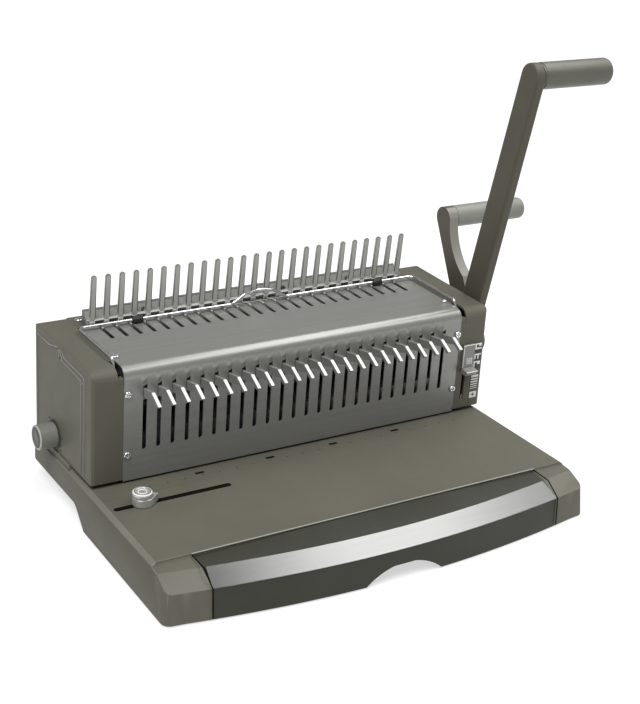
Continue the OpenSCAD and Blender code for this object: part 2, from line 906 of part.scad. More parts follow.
module finger_plate() color([0.74, 0.75, 0.75]) placed() {
  tip_r = finger_tip_w / 2;
  top = finger_h - tip_r;
  translate([0, finger_base_y, body_h])
    rotate([finger_lean, 0, 0])
      along_y(-finger_t / 2, finger_t / 2)
        difference() {
          union() {
            translate([-frame_in, -finger_foot_h]) square([2 * frame_in, finger_foot_h + foot_top]);
            translate([-foot_half, -finger_foot_h]) square([2 * foot_half, finger_foot_h + finger_strip]);
            translate([-strip_half, strip_low]) square([2 * strip_half, finger_strip - strip_low]);
            for (j = [0:comb_count])
              translate([finger_x(j), 0]) {
                polygon([
                  [-finger_w / 2, finger_strip - cut],
                  [finger_w / 2, finger_strip - cut],
                  [finger_tip_w / 2, top],
                  [-finger_tip_w / 2, top]
                ]);
                translate([0, top]) circle(r = tip_r);
              }
          }
          for (i = [0:comb_count - 1])
            translate([comb_x(i) - window_w / 2, cut]) square([window_w, window_h]);
        }
}

// Frame plates that carry the shafts and guide the carriages and the punch bar
frame_rear = body_d - wall_t - fit_gap;
tie_rod_r = 5;
tie_back = 16;
tie_heights = [95, 60, 30];
tie_places = [
  [body_d - tie_back, tie_heights[0]],
  [body_d - 2 * tie_back, tie_heights[1]],
  [body_d - tie_back, tie_heights[2]]
];
tab_step = 2;
carriage_tab_z = carriage_z + tab_step;
carriage_tab_h = 13;
top_tab_y = top_bar_y + tab_step;
top_tab_d = 8;
top_tab_h = 4;
tab_over = 0.5;
tab_reach = frame_out + tab_over;
punch_travel = cam_throw * 2 * sin(cam_angle);
snug = 0.02;
bush_left_wall = 3;
bush_left_r = shaft_r + bush_left_wall;
bush_right_wall = 3.5;
bush_right_r = tube_r + bush_right_wall;
foot_flange_back = 31;
foot_flange_y = body_d - foot_flange_back;

module frame_plate(bush_r) {
  gap = fit_gap;
  difference() {
    union() {
      along_x(frame_in, frame_out)
        difference() {
          housing_side(frame_inset, 0, frame_rear);
          translate([strip_front - gap, body_h - wall_t - gap]) square([body_d, body_d]);
        }
      along_x(frame_out - flange_w, frame_out)
        difference() {
          housing_side(frame_inset, 0, strip_front - gap);
          housing_side(frame_inset + flange_t, -cut, strip_front);
        }
      // Foot and rear tab for screws
      block([frame_out - flange_w, foot_flange_y, 0], [frame_out, frame_rear - gap, flange_t]);
      block([frame_out - flange_w, rear_top_y - bush_left_r, body_h - wall_t - gap - flange_t],
            [frame_out, frame_rear, body_h - wall_t - gap]);
    }
    rod_x(frame_in - cut, frame_out + cut, axis_y, axis_z, bush_r + snug);
    rod_x(frame_in - cut, frame_out + cut, bail_pivot_y, bail_pivot_z, bail_r + hair_gap);
    for (p = tie_places) rod_x(frame_in - cut, frame_out + cut, p[0], p[1], tie_rod_r + snug);
    // Slots for the hook carriage, the punch bar and the top carriage
    block([frame_in - cut, carriage_y - gap, carriage_tab_z - hook_travel - gap],
          [frame_out + cut, carriage_y + carriage_t + gap, carriage_tab_z + carriage_tab_h + gap]);
    block([frame_in - cut, punch_tab_y - gap, bar_z - punch_travel - gap],
          [frame_out + cut, bar_y + bar_t + gap, bar_z + punch_tab_h + gap]);
    block([frame_in - cut, top_tab_y - top_travel - gap, top_bar_z - gap],
          [frame_out + cut, top_tab_y + top_tab_d + gap, top_bar_z + top_tab_h + gap]);
    for (z = [front_screw_low, front_screw_high])
      rod_y(0, screw_len + gap, cover_screw_x, z, screw_d / 2 + hair_gap);
    rod_z(body_h - screw_len - gap, body_h, cover_screw_x, top_screw_y, screw_d / 2 + hair_gap);
    rod_z(body_h - screw_len - gap, body_h, rear_screw_side, rear_top_y, screw_d / 2 + hair_gap);
  }
}

module left_frame_plate() color([0.62, 0.63, 0.64]) placed() {
  difference() {
    mirror([1, 0, 0]) frame_plate(bush_left_r);
    rod_x(-frame_out - cut, -frame_in + cut, margin_y, margin_z, margin_shaft_r + run_gap);
  }
}

module right_frame_plate() color([0.62, 0.63, 0.64]) placed() frame_plate(bush_right_r);

module tie_rods() color([0.62, 0.63, 0.64]) placed() {
  for (p = tie_places) rod_x(-frame_out, frame_out, p[0], p[1], tie_rod_r);
}

bush_over = 1;
module shaft_bushes() color([0.76, 0.60, 0.32]) placed() {
  difference() {
    rod_x(-frame_out - bush_over, -frame_in + bush_over, axis_y, axis_z, bush_left_r);
    rod_x(-frame_out - 2 * bush_over, -frame_in + 2 * bush_over, axis_y, axis_z, shaft_r + run_gap);
  }
  difference() {
    rod_x(frame_in - bush_over, frame_out + bush_over, axis_y, axis_z, bush_right_r);
    rod_x(frame_in - 2 * bush_over, frame_out + 2 * bush_over, axis_y, axis_z, tube_r + run_gap);
  }
}

// Die and stripper, with the paper gap between them
die_low = -die_drop - die_t;
stripper_low = die_gap;
ear_front = 14;
spacer_d = 4;
die_screw_r = 1.6;
die_screw_head_r = 3;
die_screw_head_h = 2;
die_screw_y = die_rear - spacer_d / 2;
die_screw_shares = [-0.9, -0.3, 0.3, 0.9];

module punch_holes(low, high, gap) {
  for (i = [0:comb_count - 1])
    block([comb_x(i) - hole_w / 2 - gap, punch_y - hole_d / 2 - gap, low],
          [comb_x(i) + hole_w / 2 + gap, punch_y + hole_d / 2 + gap, high]);
}

module die_screw_holes(low, high) {
  for (s = die_screw_shares) rod_z(low, high, s * die_half, die_screw_y, die_screw_r + hair_gap);
}

module die_plate() color([0.58, 0.59, 0.60]) placed() {
  difference() {
    block([-die_half, die_front, die_low], [die_half, die_rear, -die_drop]);
    punch_holes(die_low - cut, cut, punch_gap);
    die_screw_holes(die_low - cut, cut);
  }
}

module stripper_plate() color([0.58, 0.59, 0.60]) placed() {
  difference() {
    union() {
      block([-die_half, die_front, stripper_low], [die_half, die_rear, throat_h]);
      block([-frame_in, ear_front, stripper_low], [frame_in, die_rear, throat_h]);
    }
    punch_holes(stripper_low - cut, throat_h + cut, punch_gap);
    die_screw_holes(stripper_low - cut, throat_h + cut);
  }
}

module die_spacers() color([0.50, 0.51, 0.52]) placed() {
  difference() {
    block([-die_half, die_rear - spacer_d, -die_drop], [die_half, die_rear, stripper_low]);
    die_screw_holes(-die_drop - cut, stripper_low + cut);
  }
}

module die_screws() color([0.30, 0.30, 0.31]) placed() {
  for (s = die_screw_shares) {
    rod_z(die_low, throat_h, s * die_half, die_screw_y, die_screw_r);
    rod_z(throat_h, throat_h + die_screw_head_h, s * die_half, die_screw_y, die_screw_head_r);
  }
}

// Punch bar with a yoke round each eccentric, and its punches
yoke_in_low = cam_z - cam_r - yoke_gap;
yoke_in_high = cam_z + cam_r + yoke_gap;
yoke_front_share = 1.67;
yoke_rear_share = 1.83;
yoke_in_front = axis_y - cam_throw - cam_r - yoke_front_share * yoke_gap;
yoke_in_rear = cam_y + cam_r + yoke_rear_share * yoke_gap;
yoke_t = cam_t - 2 * yoke_gap;

module punch_bar() color([0.55, 0.56, 0.57]) placed() {
  block([-bar_half, bar_y, bar_z], [bar_half, bar_y + bar_t, bar_z + bar_h]);
  both_sides() {
    block([bar_half - cut, punch_tab_y, bar_z], [tab_reach, bar_y + bar_t, bar_z + punch_tab_h]);
    difference() {
      block([cam_x - yoke_t / 2, bar_y, bar_z + bar_h - yoke_wall],
            [cam_x + yoke_t / 2, yoke_in_rear + yoke_wall, yoke_in_high + yoke_wall]);
      block([cam_x - cam_t, yoke_in_front, yoke_in_low], [cam_x + cam_t, yoke_in_rear, yoke_in_high]);
    }
  }
}

paper_gap = 0.2;
pin_tip = die_gap + paper_gap;
module punch_pins() color([0.66, 0.67, 0.68]) placed() {
  punch_holes(pin_tip, bar_z, 0);
}

// Return springs between the stripper and the punch bar, one unbroken coil each
spring_wire = 0.8;
spring_d = 5.4;
spring_turns = 4;
spring_steps = 8;
spring_sides = 6;
spring_x = finger_x(comb_count) - comb_pitch;

function spring_point(k, a) =
  let (
    t = k / (spring_turns * spring_steps),
    turn = 360 * k / spring_steps,
    mid = spring_d / 2 - spring_wire / 2,
    rise = bar_z - throat_h - spring_wire - 2 * hair_gap,
    out = mid + spring_wire / 2 * cos(a)
  ) [out * cos(turn), out * sin(turn), spring_wire / 2 + hair_gap + t * rise + spring_wire / 2 * sin(a)];

module coil_spring() {
  rings = spring_turns * spring_steps;
  n = spring_sides;
  points = [for (k = [0:rings], j = [0:n - 1]) spring_point(k, 360 * j / n)];
  sides = [
    for (k = [0:rings - 1], j = [0:n - 1])
      let (a = k * n + j, b = k * n + (j + 1) % n)
        each [[a, a + n, b], [b, a + n, b + n]]
  ];
  start = [for (j = [1:n - 2]) [0, j, j + 1]];
  end = [for (j = [1:n - 2]) [rings * n, rings * n + j + 1, rings * n + j]];
  polyhedron(points = points, faces = concat(sides, start, end), convexity = spring_turns);
}

module return_springs() color([0.70, 0.71, 0.72]) placed() {
  for (s = [-1, 1]) translate([s * spring_x, punch_y, throat_h]) coil_spring();
}

// A flat arm along X: two round ends, at places in Y and Z, joined by their outer tangents
module tapered_arm(x0, x1, a, ra, b, rb) {
  d = norm(b - a);
  turn = atan2(b[1] - a[1], b[0] - a[0]);
  open = acos((ra - rb) / d);
  // The straight sides lie a hair inside the tangents, so that they cross both circles
  qa = ra - snug;
  qb = rb - snug;
  along_x(x0, x1)
    polygon([
      a + qa * [cos(turn + open), sin(turn + open)],
      b + qb * [cos(turn + open), sin(turn + open)],
      b + qb * [cos(turn - open), sin(turn - open)],
      a + qa * [cos(turn - open), sin(turn - open)]
    ]);
  rod_x(x0, x1, a[0], a[1], ra);
  rod_x(x0, x1, b[0], b[1], rb);
}

// A grip along X with a rounded far end and a bore for its stud
module grip(x, y, z, r, len) {
  translate([x, y, z])
    rotate([0, 90, 0])
      rotate_extrude()
        difference() {
          union() {
            square([r, len - grip_round]);
            square([r - grip_round, len]);
            translate([r - grip_round, len - grip_round]) circle(r = grip_round);
          }
          square([stud_r + snug, stud_len + snug]);
        }
}

module stud(x, y, z) rod_x(x - stud_sunk, x + stud_len, y, z, stud_r);

module stud_hole(x, y, z) rod_x(x - stud_sunk - snug, x + cut, y, z, stud_r + snug);

module punch_arm() color([0.33, 0.32, 0.27]) placed() {
  far = long_x + arm_t;
  difference() {
    tapered_arm(long_x, far, [axis_y, axis_z], long_hub_r,
                [long_grip_y, long_grip_z], long_grip_d / 2);
    rod_x(long_x - cut, far + cut, axis_y, axis_z, tube_r + snug);
    stud_hole(far, long_grip_y, long_grip_z);
  }
}

module punch_grip() color([0.30, 0.30, 0.27]) placed() {
  grip(long_x + arm_t, long_grip_y, long_grip_z, long_grip_d / 2, long_grip_len);
}

module punch_grip_stud() color([0.62, 0.63, 0.64]) placed() {
  stud(long_x + arm_t, long_grip_y, long_grip_z);
}

tube_start = -row_half + fit_gap;
module punch_tube() color([0.62, 0.63, 0.64]) placed() {
  difference() {
    rod_x(tube_start, long_x + arm_t, axis_y, axis_z, tube_r);
    rod_x(tube_start - cut, long_x + arm_t + cut, axis_y, axis_z, shaft_r + run_gap);
  }
}

module eccentrics() color([0.58, 0.59, 0.60]) placed() {
  both_sides()
    difference() {
      rod_x(cam_x - cam_t / 2, cam_x + cam_t / 2, cam_y, cam_z, cam_r);
      rod_x(cam_x - cam_t, cam_x + cam_t, axis_y, axis_z, tube_r + snug);
    }
}

// Short lever: a tapered bar with a round hollow in its front edge
crescent_share = 0.744;
crescent_waist = 4.5;

module bind_arm() color([0.33, 0.32, 0.27]) placed() {
  far = short_x + arm_t;
  along = [sin(short_lean), cos(short_lean)];
  across = [-cos(short_lean), sin(short_lean)];
  hollow = [axis_y, axis_z] + crescent_share * short_len * along + (crescent_r + crescent_waist) * across;
  difference() {
    tapered_arm(short_x, far, [axis_y, axis_z], short_hub_r,
                [short_grip_y, short_grip_z], short_grip_d / 2);
    rod_x(short_x - cut, far + cut, hollow[0], hollow[1], crescent_r, $fn = 180);
    rod_x(short_x - cut, far + cut, axis_y, axis_z, shaft_r + snug);
    stud_hole(far, short_grip_y, short_grip_z);
  }
}

module bind_grip() color([0.45, 0.46, 0.43]) placed() {
  grip(short_x + arm_t, short_grip_y, short_grip_z, short_grip_d / 2, short_grip_len);
}

module bind_grip_stud() color([0.62, 0.63, 0.64]) placed() {
  stud(short_x + arm_t, short_grip_y, short_grip_z);
}

shaft_over = 4.5;
module bind_shaft() color([0.70, 0.71, 0.72]) placed() {
  rod_x(-frame_out - shaft_over, short_x + arm_t, axis_y, axis_z, shaft_r);
}

washer_r = 12;
module lever_washer() color([0.70, 0.71, 0.72]) placed() {
  difference() {
    rod_x(long_x + arm_t + hair_gap, short_x - hair_gap, axis_y, axis_z, washer_r);
    rod_x(long_x, short_x + arm_t, axis_y, axis_z, shaft_r + run_gap);
  }
}

module lever_cap() color([0.33, 0.32, 0.27]) placed() {
  rod_x(short_x + arm_t, short_x + arm_t + lever_cap_t, axis_y, axis_z, lever_cap_r);
}

// Toothed sector on the bind shaft, drives the hook carriage
sector_from = 98;
sector_to = 190;
gear_hub_r = 13;

module hook_sector() color([0.58, 0.59, 0.60]) placed() {
  reach = 2 * sector_r;
  steps = 4;
  span = (sector_to - sector_from) / steps;
  difference() {
    along_x(-gear_x - gear_t, -gear_x)
      translate([axis_y, axis_z]) {
        intersection() {
          gear_outline(sector_teeth);
          polygon(concat(
            [[0, 0]],
            [for (k = [0:steps]) reach * [cos(sector_from + k * span), sin(sector_from + k * span)]]
          ));
        }
        circle(r = gear_hub_r);
      }
    rod_x(-frame_in, -gear_x + cut, axis_y, axis_z, shaft_r + snug);
  }
}

module top_pinion() color([0.58, 0.59, 0.60]) placed() {
  difference() {
    along_x(-pinion_x - pinion_t, -pinion_x)
      translate([axis_y, axis_z]) rotate(90 + 180 / pinion_teeth) gear_outline(pinion_teeth);
    rod_x(-gear_x, -pinion_x + cut, axis_y, axis_z, shaft_r + snug);
  }
}

// Hook carriage: a plate across the machine with a rack down its left end
tooth_step = gear_m * PI;
hook_rack_above = 7;
hook_rack_below = 1;
rack_drop = 8;
rack_low = axis_z - rack_drop;
rack_rise = 49.2;
rack_high = axis_z + rack_rise;
carriage_half = frame_in - 2 * fit_gap;

module hook_carriage() color([0.60, 0.61, 0.62]) placed() {
  rear = carriage_y + carriage_t;
  block([-carriage_half, carriage_y, carriage_z], [carriage_half, rear, carriage_z + carriage_h]);
  block([-tab_reach, carriage_y, carriage_tab_z], [tab_reach, rear, carriage_tab_z + carriage_tab_h]);
  along_x(-gear_x - gear_t, -gear_x) {
    translate([carriage_y, rack_low]) square([carriage_t, rack_high - rack_low]);
    translate([rack_line, axis_z + (hook_rack_above + 0.5) * tooth_step])
      rotate(-90) rack_teeth(hook_rack_above + hook_rack_below + 1);
  }
}

// Front hooks, which hold the comb open
hook_len = 33.6;
hook_drop = 30.7;
hook_z = body_h - hook_drop;
hook_shares = [
  [-0.137, 0], [-0.137, 0.292], [0.077, 0.292], [0.539, 0.446], [1, 0.2],
  [0.902, 0.0625], [0.658, 0.202], [0.238, 0.074], [0.092, 0]
];

module front_hooks() color([0.66, 0.67, 0.66]) placed() {
  for (i = [0:comb_count - 1])
    along_x(comb_x(i) - hook_t / 2, comb_x(i) + hook_t / 2)
      polygon([
        for (p = hook_shares)
          [p[0] < 0 ? carriage_y : -p[0] * hook_len, hook_z + p[1] * hook_len]
      ]);
}

// Top carriage: a bar across the machine with a rack and web at its left end
top_rack_line = axis_z + pinion_r;
top_rack_root = top_rack_line + dedendum * gear_m;
top_rack_back = 5;
top_rack_web = 5;
top_rack_front = 7.5;
top_rack_over = 1.2;

module top_carriage() color([0.60, 0.61, 0.62]) placed() {
  rear = top_bar_y + top_bar_d;
  front = axis_y - top_rack_front;
  back = axis_y + top_rack_back * tooth_step + top_rack_over;
  block([-carriage_half, top_bar_y, top_bar_z], [carriage_half, rear, top_bar_z + top_bar_h]);
  block([-tab_reach, top_tab_y, top_bar_z], [tab_reach, top_tab_y + top_tab_d, top_bar_z + top_tab_h]);
  along_x(-pinion_x - pinion_t, -pinion_x) {
    polygon([
      [front, top_rack_root],
      [back, top_rack_root],
      [rear, top_bar_z],
      [rear, top_bar_z + cut],
      [top_bar_y, top_bar_z + cut],
      [back - top_rack_web, top_rack_root + top_rack_web],
      [front, top_rack_root + top_rack_web]
    ]);
    translate([axis_y + top_rack_back * tooth_step, top_rack_line])
      rotate(180) rack_teeth(top_rack_back + 2);
  }
}

module top_hooks() color([0.66, 0.67, 0.66]) placed() {
  low = top_bar_z + top_bar_h;
  nose_low = body_h + fit_gap;
  high = body_h + top_hook_rise;
  for (i = [0:comb_count - 1])
    along_x(comb_x(i) - top_hook_t / 2, comb_x(i) + top_hook_t / 2)
      polygon([
        [top_hook_y, low],
        [top_hook_y + top_hook_d, low],
        [top_hook_y + top_hook_d, high],
        [top_hook_y - top_hook_nose, high],
        [top_hook_y - top_hook_nose, nose_low],
        [top_hook_y, nose_low]
      ]);
}

// Margin control: knob, shaft with an eccentric, and the stop bar that it moves
knob_gap = 0.5;
knob_start = body_half + knob_gap;
knob_rim = 1.6;
knob_bore = 12;

module margin_knob() color([0.45, 0.45, 0.43]) placed() {
  rim_r = margin_knob_d / 2;
  difference() {
    union() {
      rod_x(-box_left, -knob_start - 2 * knob_rim, margin_y, margin_z, rim_r - knob_rim);
      rod_x(-box_left + 2 * knob_rim, -knob_start, margin_y, margin_z, rim_r);
    }
    rod_x(-knob_start - knob_bore - snug, -knob_start + cut, margin_y, margin_z, margin_shaft_r + snug);
  }
}

module margin_shaft() color([0.62, 0.63, 0.64]) placed() {
  end = margin_cam_x - margin_plate_t;
  rod_x(-knob_start - knob_bore, -end, margin_y, margin_z, margin_shaft_r);
  rod_x(-margin_cam_x, -end, margin_y, margin_z + margin_throw, margin_cam_r);
}

stop_high = die_gap - paper_gap;
stop_short = 4.3;
stop_reach = row_half - stop_short;
stop_step = 2.5;
stop_step_y = die_rear + stop_step;
stop_beam_h = 6;
stop_wall = 4;

module margin_stop() color([0.60, 0.61, 0.62]) placed() {
  low = stop_foot;
  cam_mid = margin_z + margin_throw;
  window_front = margin_y - margin_cam_r - margin_gap;
  window_rear = margin_y + margin_cam_r + margin_gap;
  window_low = cam_mid - margin_cam_r - margin_gap - margin_throw / 2;
  window_high = cam_mid + margin_cam_r + margin_gap;
  front = window_front - stop_wall;
  rear = window_rear + stop_wall;
  high = window_high + stop_wall;
  block([-margin_cam_x, stop_y, low], [stop_reach, stop_y + stop_d, stop_high]);
  along_x(-margin_cam_x, -margin_cam_x + margin_plate_t)
    difference() {
      polygon([
        [stop_y, low], [rear, low], [rear, high], [front, high],
        [front, stop_beam_h], [stop_step_y, stop_beam_h], [stop_step_y, stop_high], [stop_y, stop_high]
      ]);
      translate([window_front, window_low]) square([window_rear - window_front, window_high - window_low]);
    }
}

// Edge guide on the tray: foot with a pointed nose, nut under the deck, clamping knob above
guide_lift = 0.15;
module edge_guide() color([0.62, 0.63, 0.64]) placed() {
  r = guide_foot_r;
  difference() {
    translate([guide_x, guide_y, guide_lift])
      linear_extrude(guide_foot_h - guide_lift) {
        circle(r = r);
        polygon([[0, -r], [r / 2, -r], [guide_tip, 0], [r / 2, r], [0, r]]);
      }
    rod_z(0, guide_foot_h + cut, guide_x, guide_y, guide_screw_r + hair_gap);
  }
}

module guide_nut() color([0.50, 0.51, 0.52]) placed() {
  half = guide_nut_side / 2;
  top = -deck_t - fit_gap;
  difference() {
    block([guide_x - half, guide_y - half, top - guide_nut_h], [guide_x + half, guide_y + half, top]);
    rod_z(-deck_t - 2 * guide_nut_h, 0, guide_x, guide_y, guide_screw_r + hair_gap);
  }
}

module guide_knob() color([0.75, 0.76, 0.76]) placed() {
  low = guide_foot_h + hair_gap;
  rod_z(low, low + guide_knob_h, guide_x, guide_y, guide_knob_d / 2);
  rod_z(-deck_t - fit_gap - guide_nut_h, low + cut, guide_x, guide_y, guide_screw_r);
}

// Comb size selector on the right cap: ribbed thumb rest with a plate above it
rib_count = 3;
rib_d = 0.8;
stem_low = slot_high - selector_stem_h - fit_gap;

module size_selector() color([0.34, 0.34, 0.31]) placed() {
  front = -selector_block_d;
  skin = -fit_gap;
  top = selector_block_z + selector_block_h;
  rib_step = selector_block_h / rib_count;
  difference() {
    block([selector_x, front, selector_block_z], [selector_x + selector_w, skin, top]);
    for (k = [0:rib_count - 1])
      block([selector_x - cut, front - cut, selector_block_z + (k + 0.35) * rib_step],
            [selector_x + selector_w + cut, front + rib_d, selector_block_z + (k + 0.8) * rib_step]);
  }
  block([selector_x, skin - selector_plate_t, top - cut],
        [selector_x + selector_w, skin, top + selector_plate_h]);
  block([selector_slot_x, skin - cut, stem_low],
        [selector_slot_x + selector_stem_w, wall_t + fit_gap, stem_low + selector_stem_h]);
}

module selector_tab() color([0.45, 0.45, 0.44]) placed() {
  block([selector_slot_x - selector_stem_w, wall_t + fit_gap, stem_low],
        [selector_slot_x + 2 * selector_stem_w, wall_t + fit_gap + selector_stem_w,
         stem_low + selector_stem_h]);
}

module scale_panel() color([0.12, 0.12, 0.12]) placed() {
  block([selector_x + selector_w + panel_t, -panel_t, cap_lift * 2],
        [body_half - cap_edge_r, 0, selector_block_z + selector_block_h + selector_plate_h]);
}

// Wire bail: a straight run between two points, with a ball at each joint
module wire(a, b, r) {
  d = b - a;
  translate(a)
    rotate([0, acos(d[2] / norm(d)), atan2(d[1], d[0])]) {
      cylinder(h = norm(d), r = r);
      sphere(r = r + snug);
    }
}

hump_base_half = 27;
bail_sunk = 2;
bail_inner_x = frame_out - bail_sunk;

module bail_rod() color([0.80, 0.81, 0.82]) placed() {
  corner = bail_arm_x - bail_bend;
  z = bail_bar_z;
  for (s = [-1, 1]) {
    knee = [s * bail_arm_x, bail_knee_y, z];
    pivot = [s * bail_arm_x, bail_pivot_y, bail_pivot_z];
    wire([s * bail_inner_x, bail_pivot_y, bail_pivot_z], pivot, bail_r);
    wire(pivot, knee, bail_r);
    wire(knee, [s * bail_arm_x, bail_y - bail_bend, z], bail_r);
    translate([s * corner, bail_y - bail_bend, z])
      rotate([0, 0, s > 0 ? 0 : 90])
        rotate_extrude(angle = 90) translate([bail_bend, 0]) circle(r = bail_r);
  }
  line = [
    [-corner, z], [hump_x - hump_base_half, z], [hump_x - hump_half, z + hump_rise],
    [hump_x + hump_half, z + hump_rise], [hump_x + hump_base_half, z], [corner, z]
  ];
  for (k = [0:len(line) - 2])
    wire([line[k][0], bail_y, line[k][1]], [line[k + 1][0], bail_y, line[k + 1][1]], bail_r);
}

sleeve_places = [finger_x(3), finger_x(comb_count - 2)];
module bail_sleeves() color([0.06, 0.06, 0.06]) placed() {
  for (x = sleeve_places)
    difference() {
      rod_x(x - sleeve_len / 2, x + sleeve_len / 2, bail_y, bail_bar_z, sleeve_d / 2);
      rod_x(x - sleeve_len, x + sleeve_len, bail_y, bail_bar_z, bail_r + snug);
    }
}

// Chip drawer: the bowed head with its finger arch, and the open box behind it
arch_r = (arch_half * arch_half + arch_h * arch_h) / (2 * arch_h);
arch_d = 20;
trim_edge = 0.8;
trim_half = drawer_half - trim_edge;

module arch(grow) {
  rod_y(nose_y - cut, nose_y + arch_d + grow, 0, -base_h + arch_h - arch_r, arch_r + grow, $fn = 180);
}

module chip_drawer() color([0.15, 0.15, 0.14]) placed() {
  back = seam_y - fit_gap;
  difference() {
    intersection() {
      nose_solid(0);
      block([-drawer_half, nose_y - cut, -base_h - cut], [drawer_half, back, cut]);
    }
    difference() {
      intersection() {
        nose_solid(nose_wall);
        block([-drawer_half + nose_wall, nose_y, -base_h], [drawer_half - nose_wall, seam_y, cut]);
      }
      arch(nose_wall);
    }
    arch(0);
  }
  difference() {
    block([-drawer_side, back - cut, -drawer_floor], [drawer_side, drawer_back, -drawer_top]);
    block([-drawer_side + drawer_wall, back - 2 * cut, -drawer_floor + drawer_wall],
          [drawer_side - drawer_wall, drawer_back - drawer_wall, cut]);
  }
}

// Bright strip on the sloping face of the drawer head
module drawer_trim() color([0.72, 0.73, 0.73]) placed() {
  run = ridge_back - lip_back;
  rise = lip_drop - ridge_drop;
  out = [rise, run] / norm([rise, run]);
  lip = [bow_r - lip_back, -lip_drop] + hair_gap * out;
  ridge = [bow_r - ridge_back, -ridge_drop] + hair_gap * out;
  bowed(asin(trim_half / bow_r))
    polygon([lip, lip + trim_t * out, ridge + trim_t * out, ridge]);
}

base_shell();
front_bottom_plate();
rear_bottom_plate();
front_feet();
rear_legs();
rear_pads();
base_screws();
left_end_cap();
right_end_cap();
rear_housing();
cover_sheet();
cover_screws();
finger_plate();
rear_guard();
guard_screws();
left_frame_plate();
right_frame_plate();
die_plate();
stripper_plate();
die_spacers();
die_screws();
tie_rods();
shaft_bushes();
scale_panel();
punch_arm();
punch_grip();
punch_grip_stud();
punch_tube();
eccentrics();
punch_bar();
punch_pins();
return_springs();
bind_arm();
bind_grip();
bind_grip_stud();
bind_shaft();
hook_sector();
top_pinion();
lever_washer();
lever_cap();
hook_carriage();
front_hooks();
top_carriage();
top_hooks();
margin_knob();
margin_shaft();
margin_stop();
edge_guide();
guide_nut();
guide_knob();
size_selector();
selector_tab();
bail_rod();
bail_sleeves();
chip_drawer();
drawer_trim();
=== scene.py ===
import json
import math

import bmesh
import bpy
from mathutils import Matrix, Vector

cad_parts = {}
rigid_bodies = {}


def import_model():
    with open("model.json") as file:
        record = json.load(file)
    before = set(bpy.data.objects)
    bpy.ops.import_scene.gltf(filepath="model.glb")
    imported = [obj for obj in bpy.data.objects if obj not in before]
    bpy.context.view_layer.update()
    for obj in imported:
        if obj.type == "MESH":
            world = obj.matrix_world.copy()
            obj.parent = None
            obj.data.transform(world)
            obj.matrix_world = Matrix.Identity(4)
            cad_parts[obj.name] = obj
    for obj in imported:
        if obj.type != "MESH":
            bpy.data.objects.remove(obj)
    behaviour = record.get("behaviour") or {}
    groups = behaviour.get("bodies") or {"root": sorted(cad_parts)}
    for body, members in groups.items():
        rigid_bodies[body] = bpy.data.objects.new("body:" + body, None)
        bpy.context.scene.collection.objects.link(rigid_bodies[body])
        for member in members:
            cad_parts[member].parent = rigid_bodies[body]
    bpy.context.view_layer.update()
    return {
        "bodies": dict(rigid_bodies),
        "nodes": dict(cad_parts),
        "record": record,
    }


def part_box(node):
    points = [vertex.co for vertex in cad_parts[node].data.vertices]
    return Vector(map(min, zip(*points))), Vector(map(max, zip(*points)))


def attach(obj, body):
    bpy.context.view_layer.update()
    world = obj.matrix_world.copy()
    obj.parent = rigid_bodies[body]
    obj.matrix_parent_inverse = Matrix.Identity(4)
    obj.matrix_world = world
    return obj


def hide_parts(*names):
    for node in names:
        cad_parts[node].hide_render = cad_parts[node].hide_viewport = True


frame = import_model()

# Every new mesh is drawn in millimetres, with X from the middle of the comb row, Y back from the front panel
# and Z up from the paper tray, and DECK then puts it in the shared frame.
MM = 0.001
cover_low, cover_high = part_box("cover_sheet")
ORIGIN = Vector(((cover_low.x + cover_high.x) / 2, cover_low.y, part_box("rear_housing")[0].z))
DECK = Matrix.Translation(ORIGIN) @ Matrix.Scale(MM, 4)
SLOT_OF = {s["node"]: s["material_slot"] for s in frame["record"]["subparts"]}
BODY_OF = {
    node: body
    for body, empty in frame["bodies"].items()
    for node, obj in frame["nodes"].items()
    if obj.parent == empty
}


def deck_box(node):
    """The low and the high corner of a CAD node, in deck millimetres."""
    return [DECK.inverted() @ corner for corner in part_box(node)]


def middle_of(node):
    """The middle of a CAD node's box, in deck millimetres."""
    low, high = deck_box(node)
    return (low + high) / 2


def across_machine(node):
    """Where a CAD node starts and ends across the machine."""
    low, high = deck_box(node)
    return low.x, high.x


# The comb row sets the pitch of slots, hooks and fingers; the housing's sizes come from the frame
PITCH = 14.2875
COUNT = 24
COMB = [(i - (COUNT - 1) / 2) * PITCH for i in range(COUNT)]
SIDES = (-1, 1)
COVER_HALF = (cover_high.x - cover_low.x) / 2 / MM
TOP = deck_box("cover_sheet")[1].z
DRAWER_HALF = deck_box("chip_drawer")[1].x
BASE_HALF = deck_box("base_shell")[1].x
CAP_FACE = deck_box("left_end_cap")[0].x


# Finishes

TONE_FROM, TONE_TO = 0.3, 0.7
GLOSS_FINER = 3.1
GRAIN_DEPTH = 0.2 * MM


def linked(tree, kind, **inputs):
    """A shader node with some of its inputs set."""
    node = tree.nodes.new(kind)
    for name, value in inputs.items():
        node.inputs[name.replace("_", " ")].default_value = value
    return node


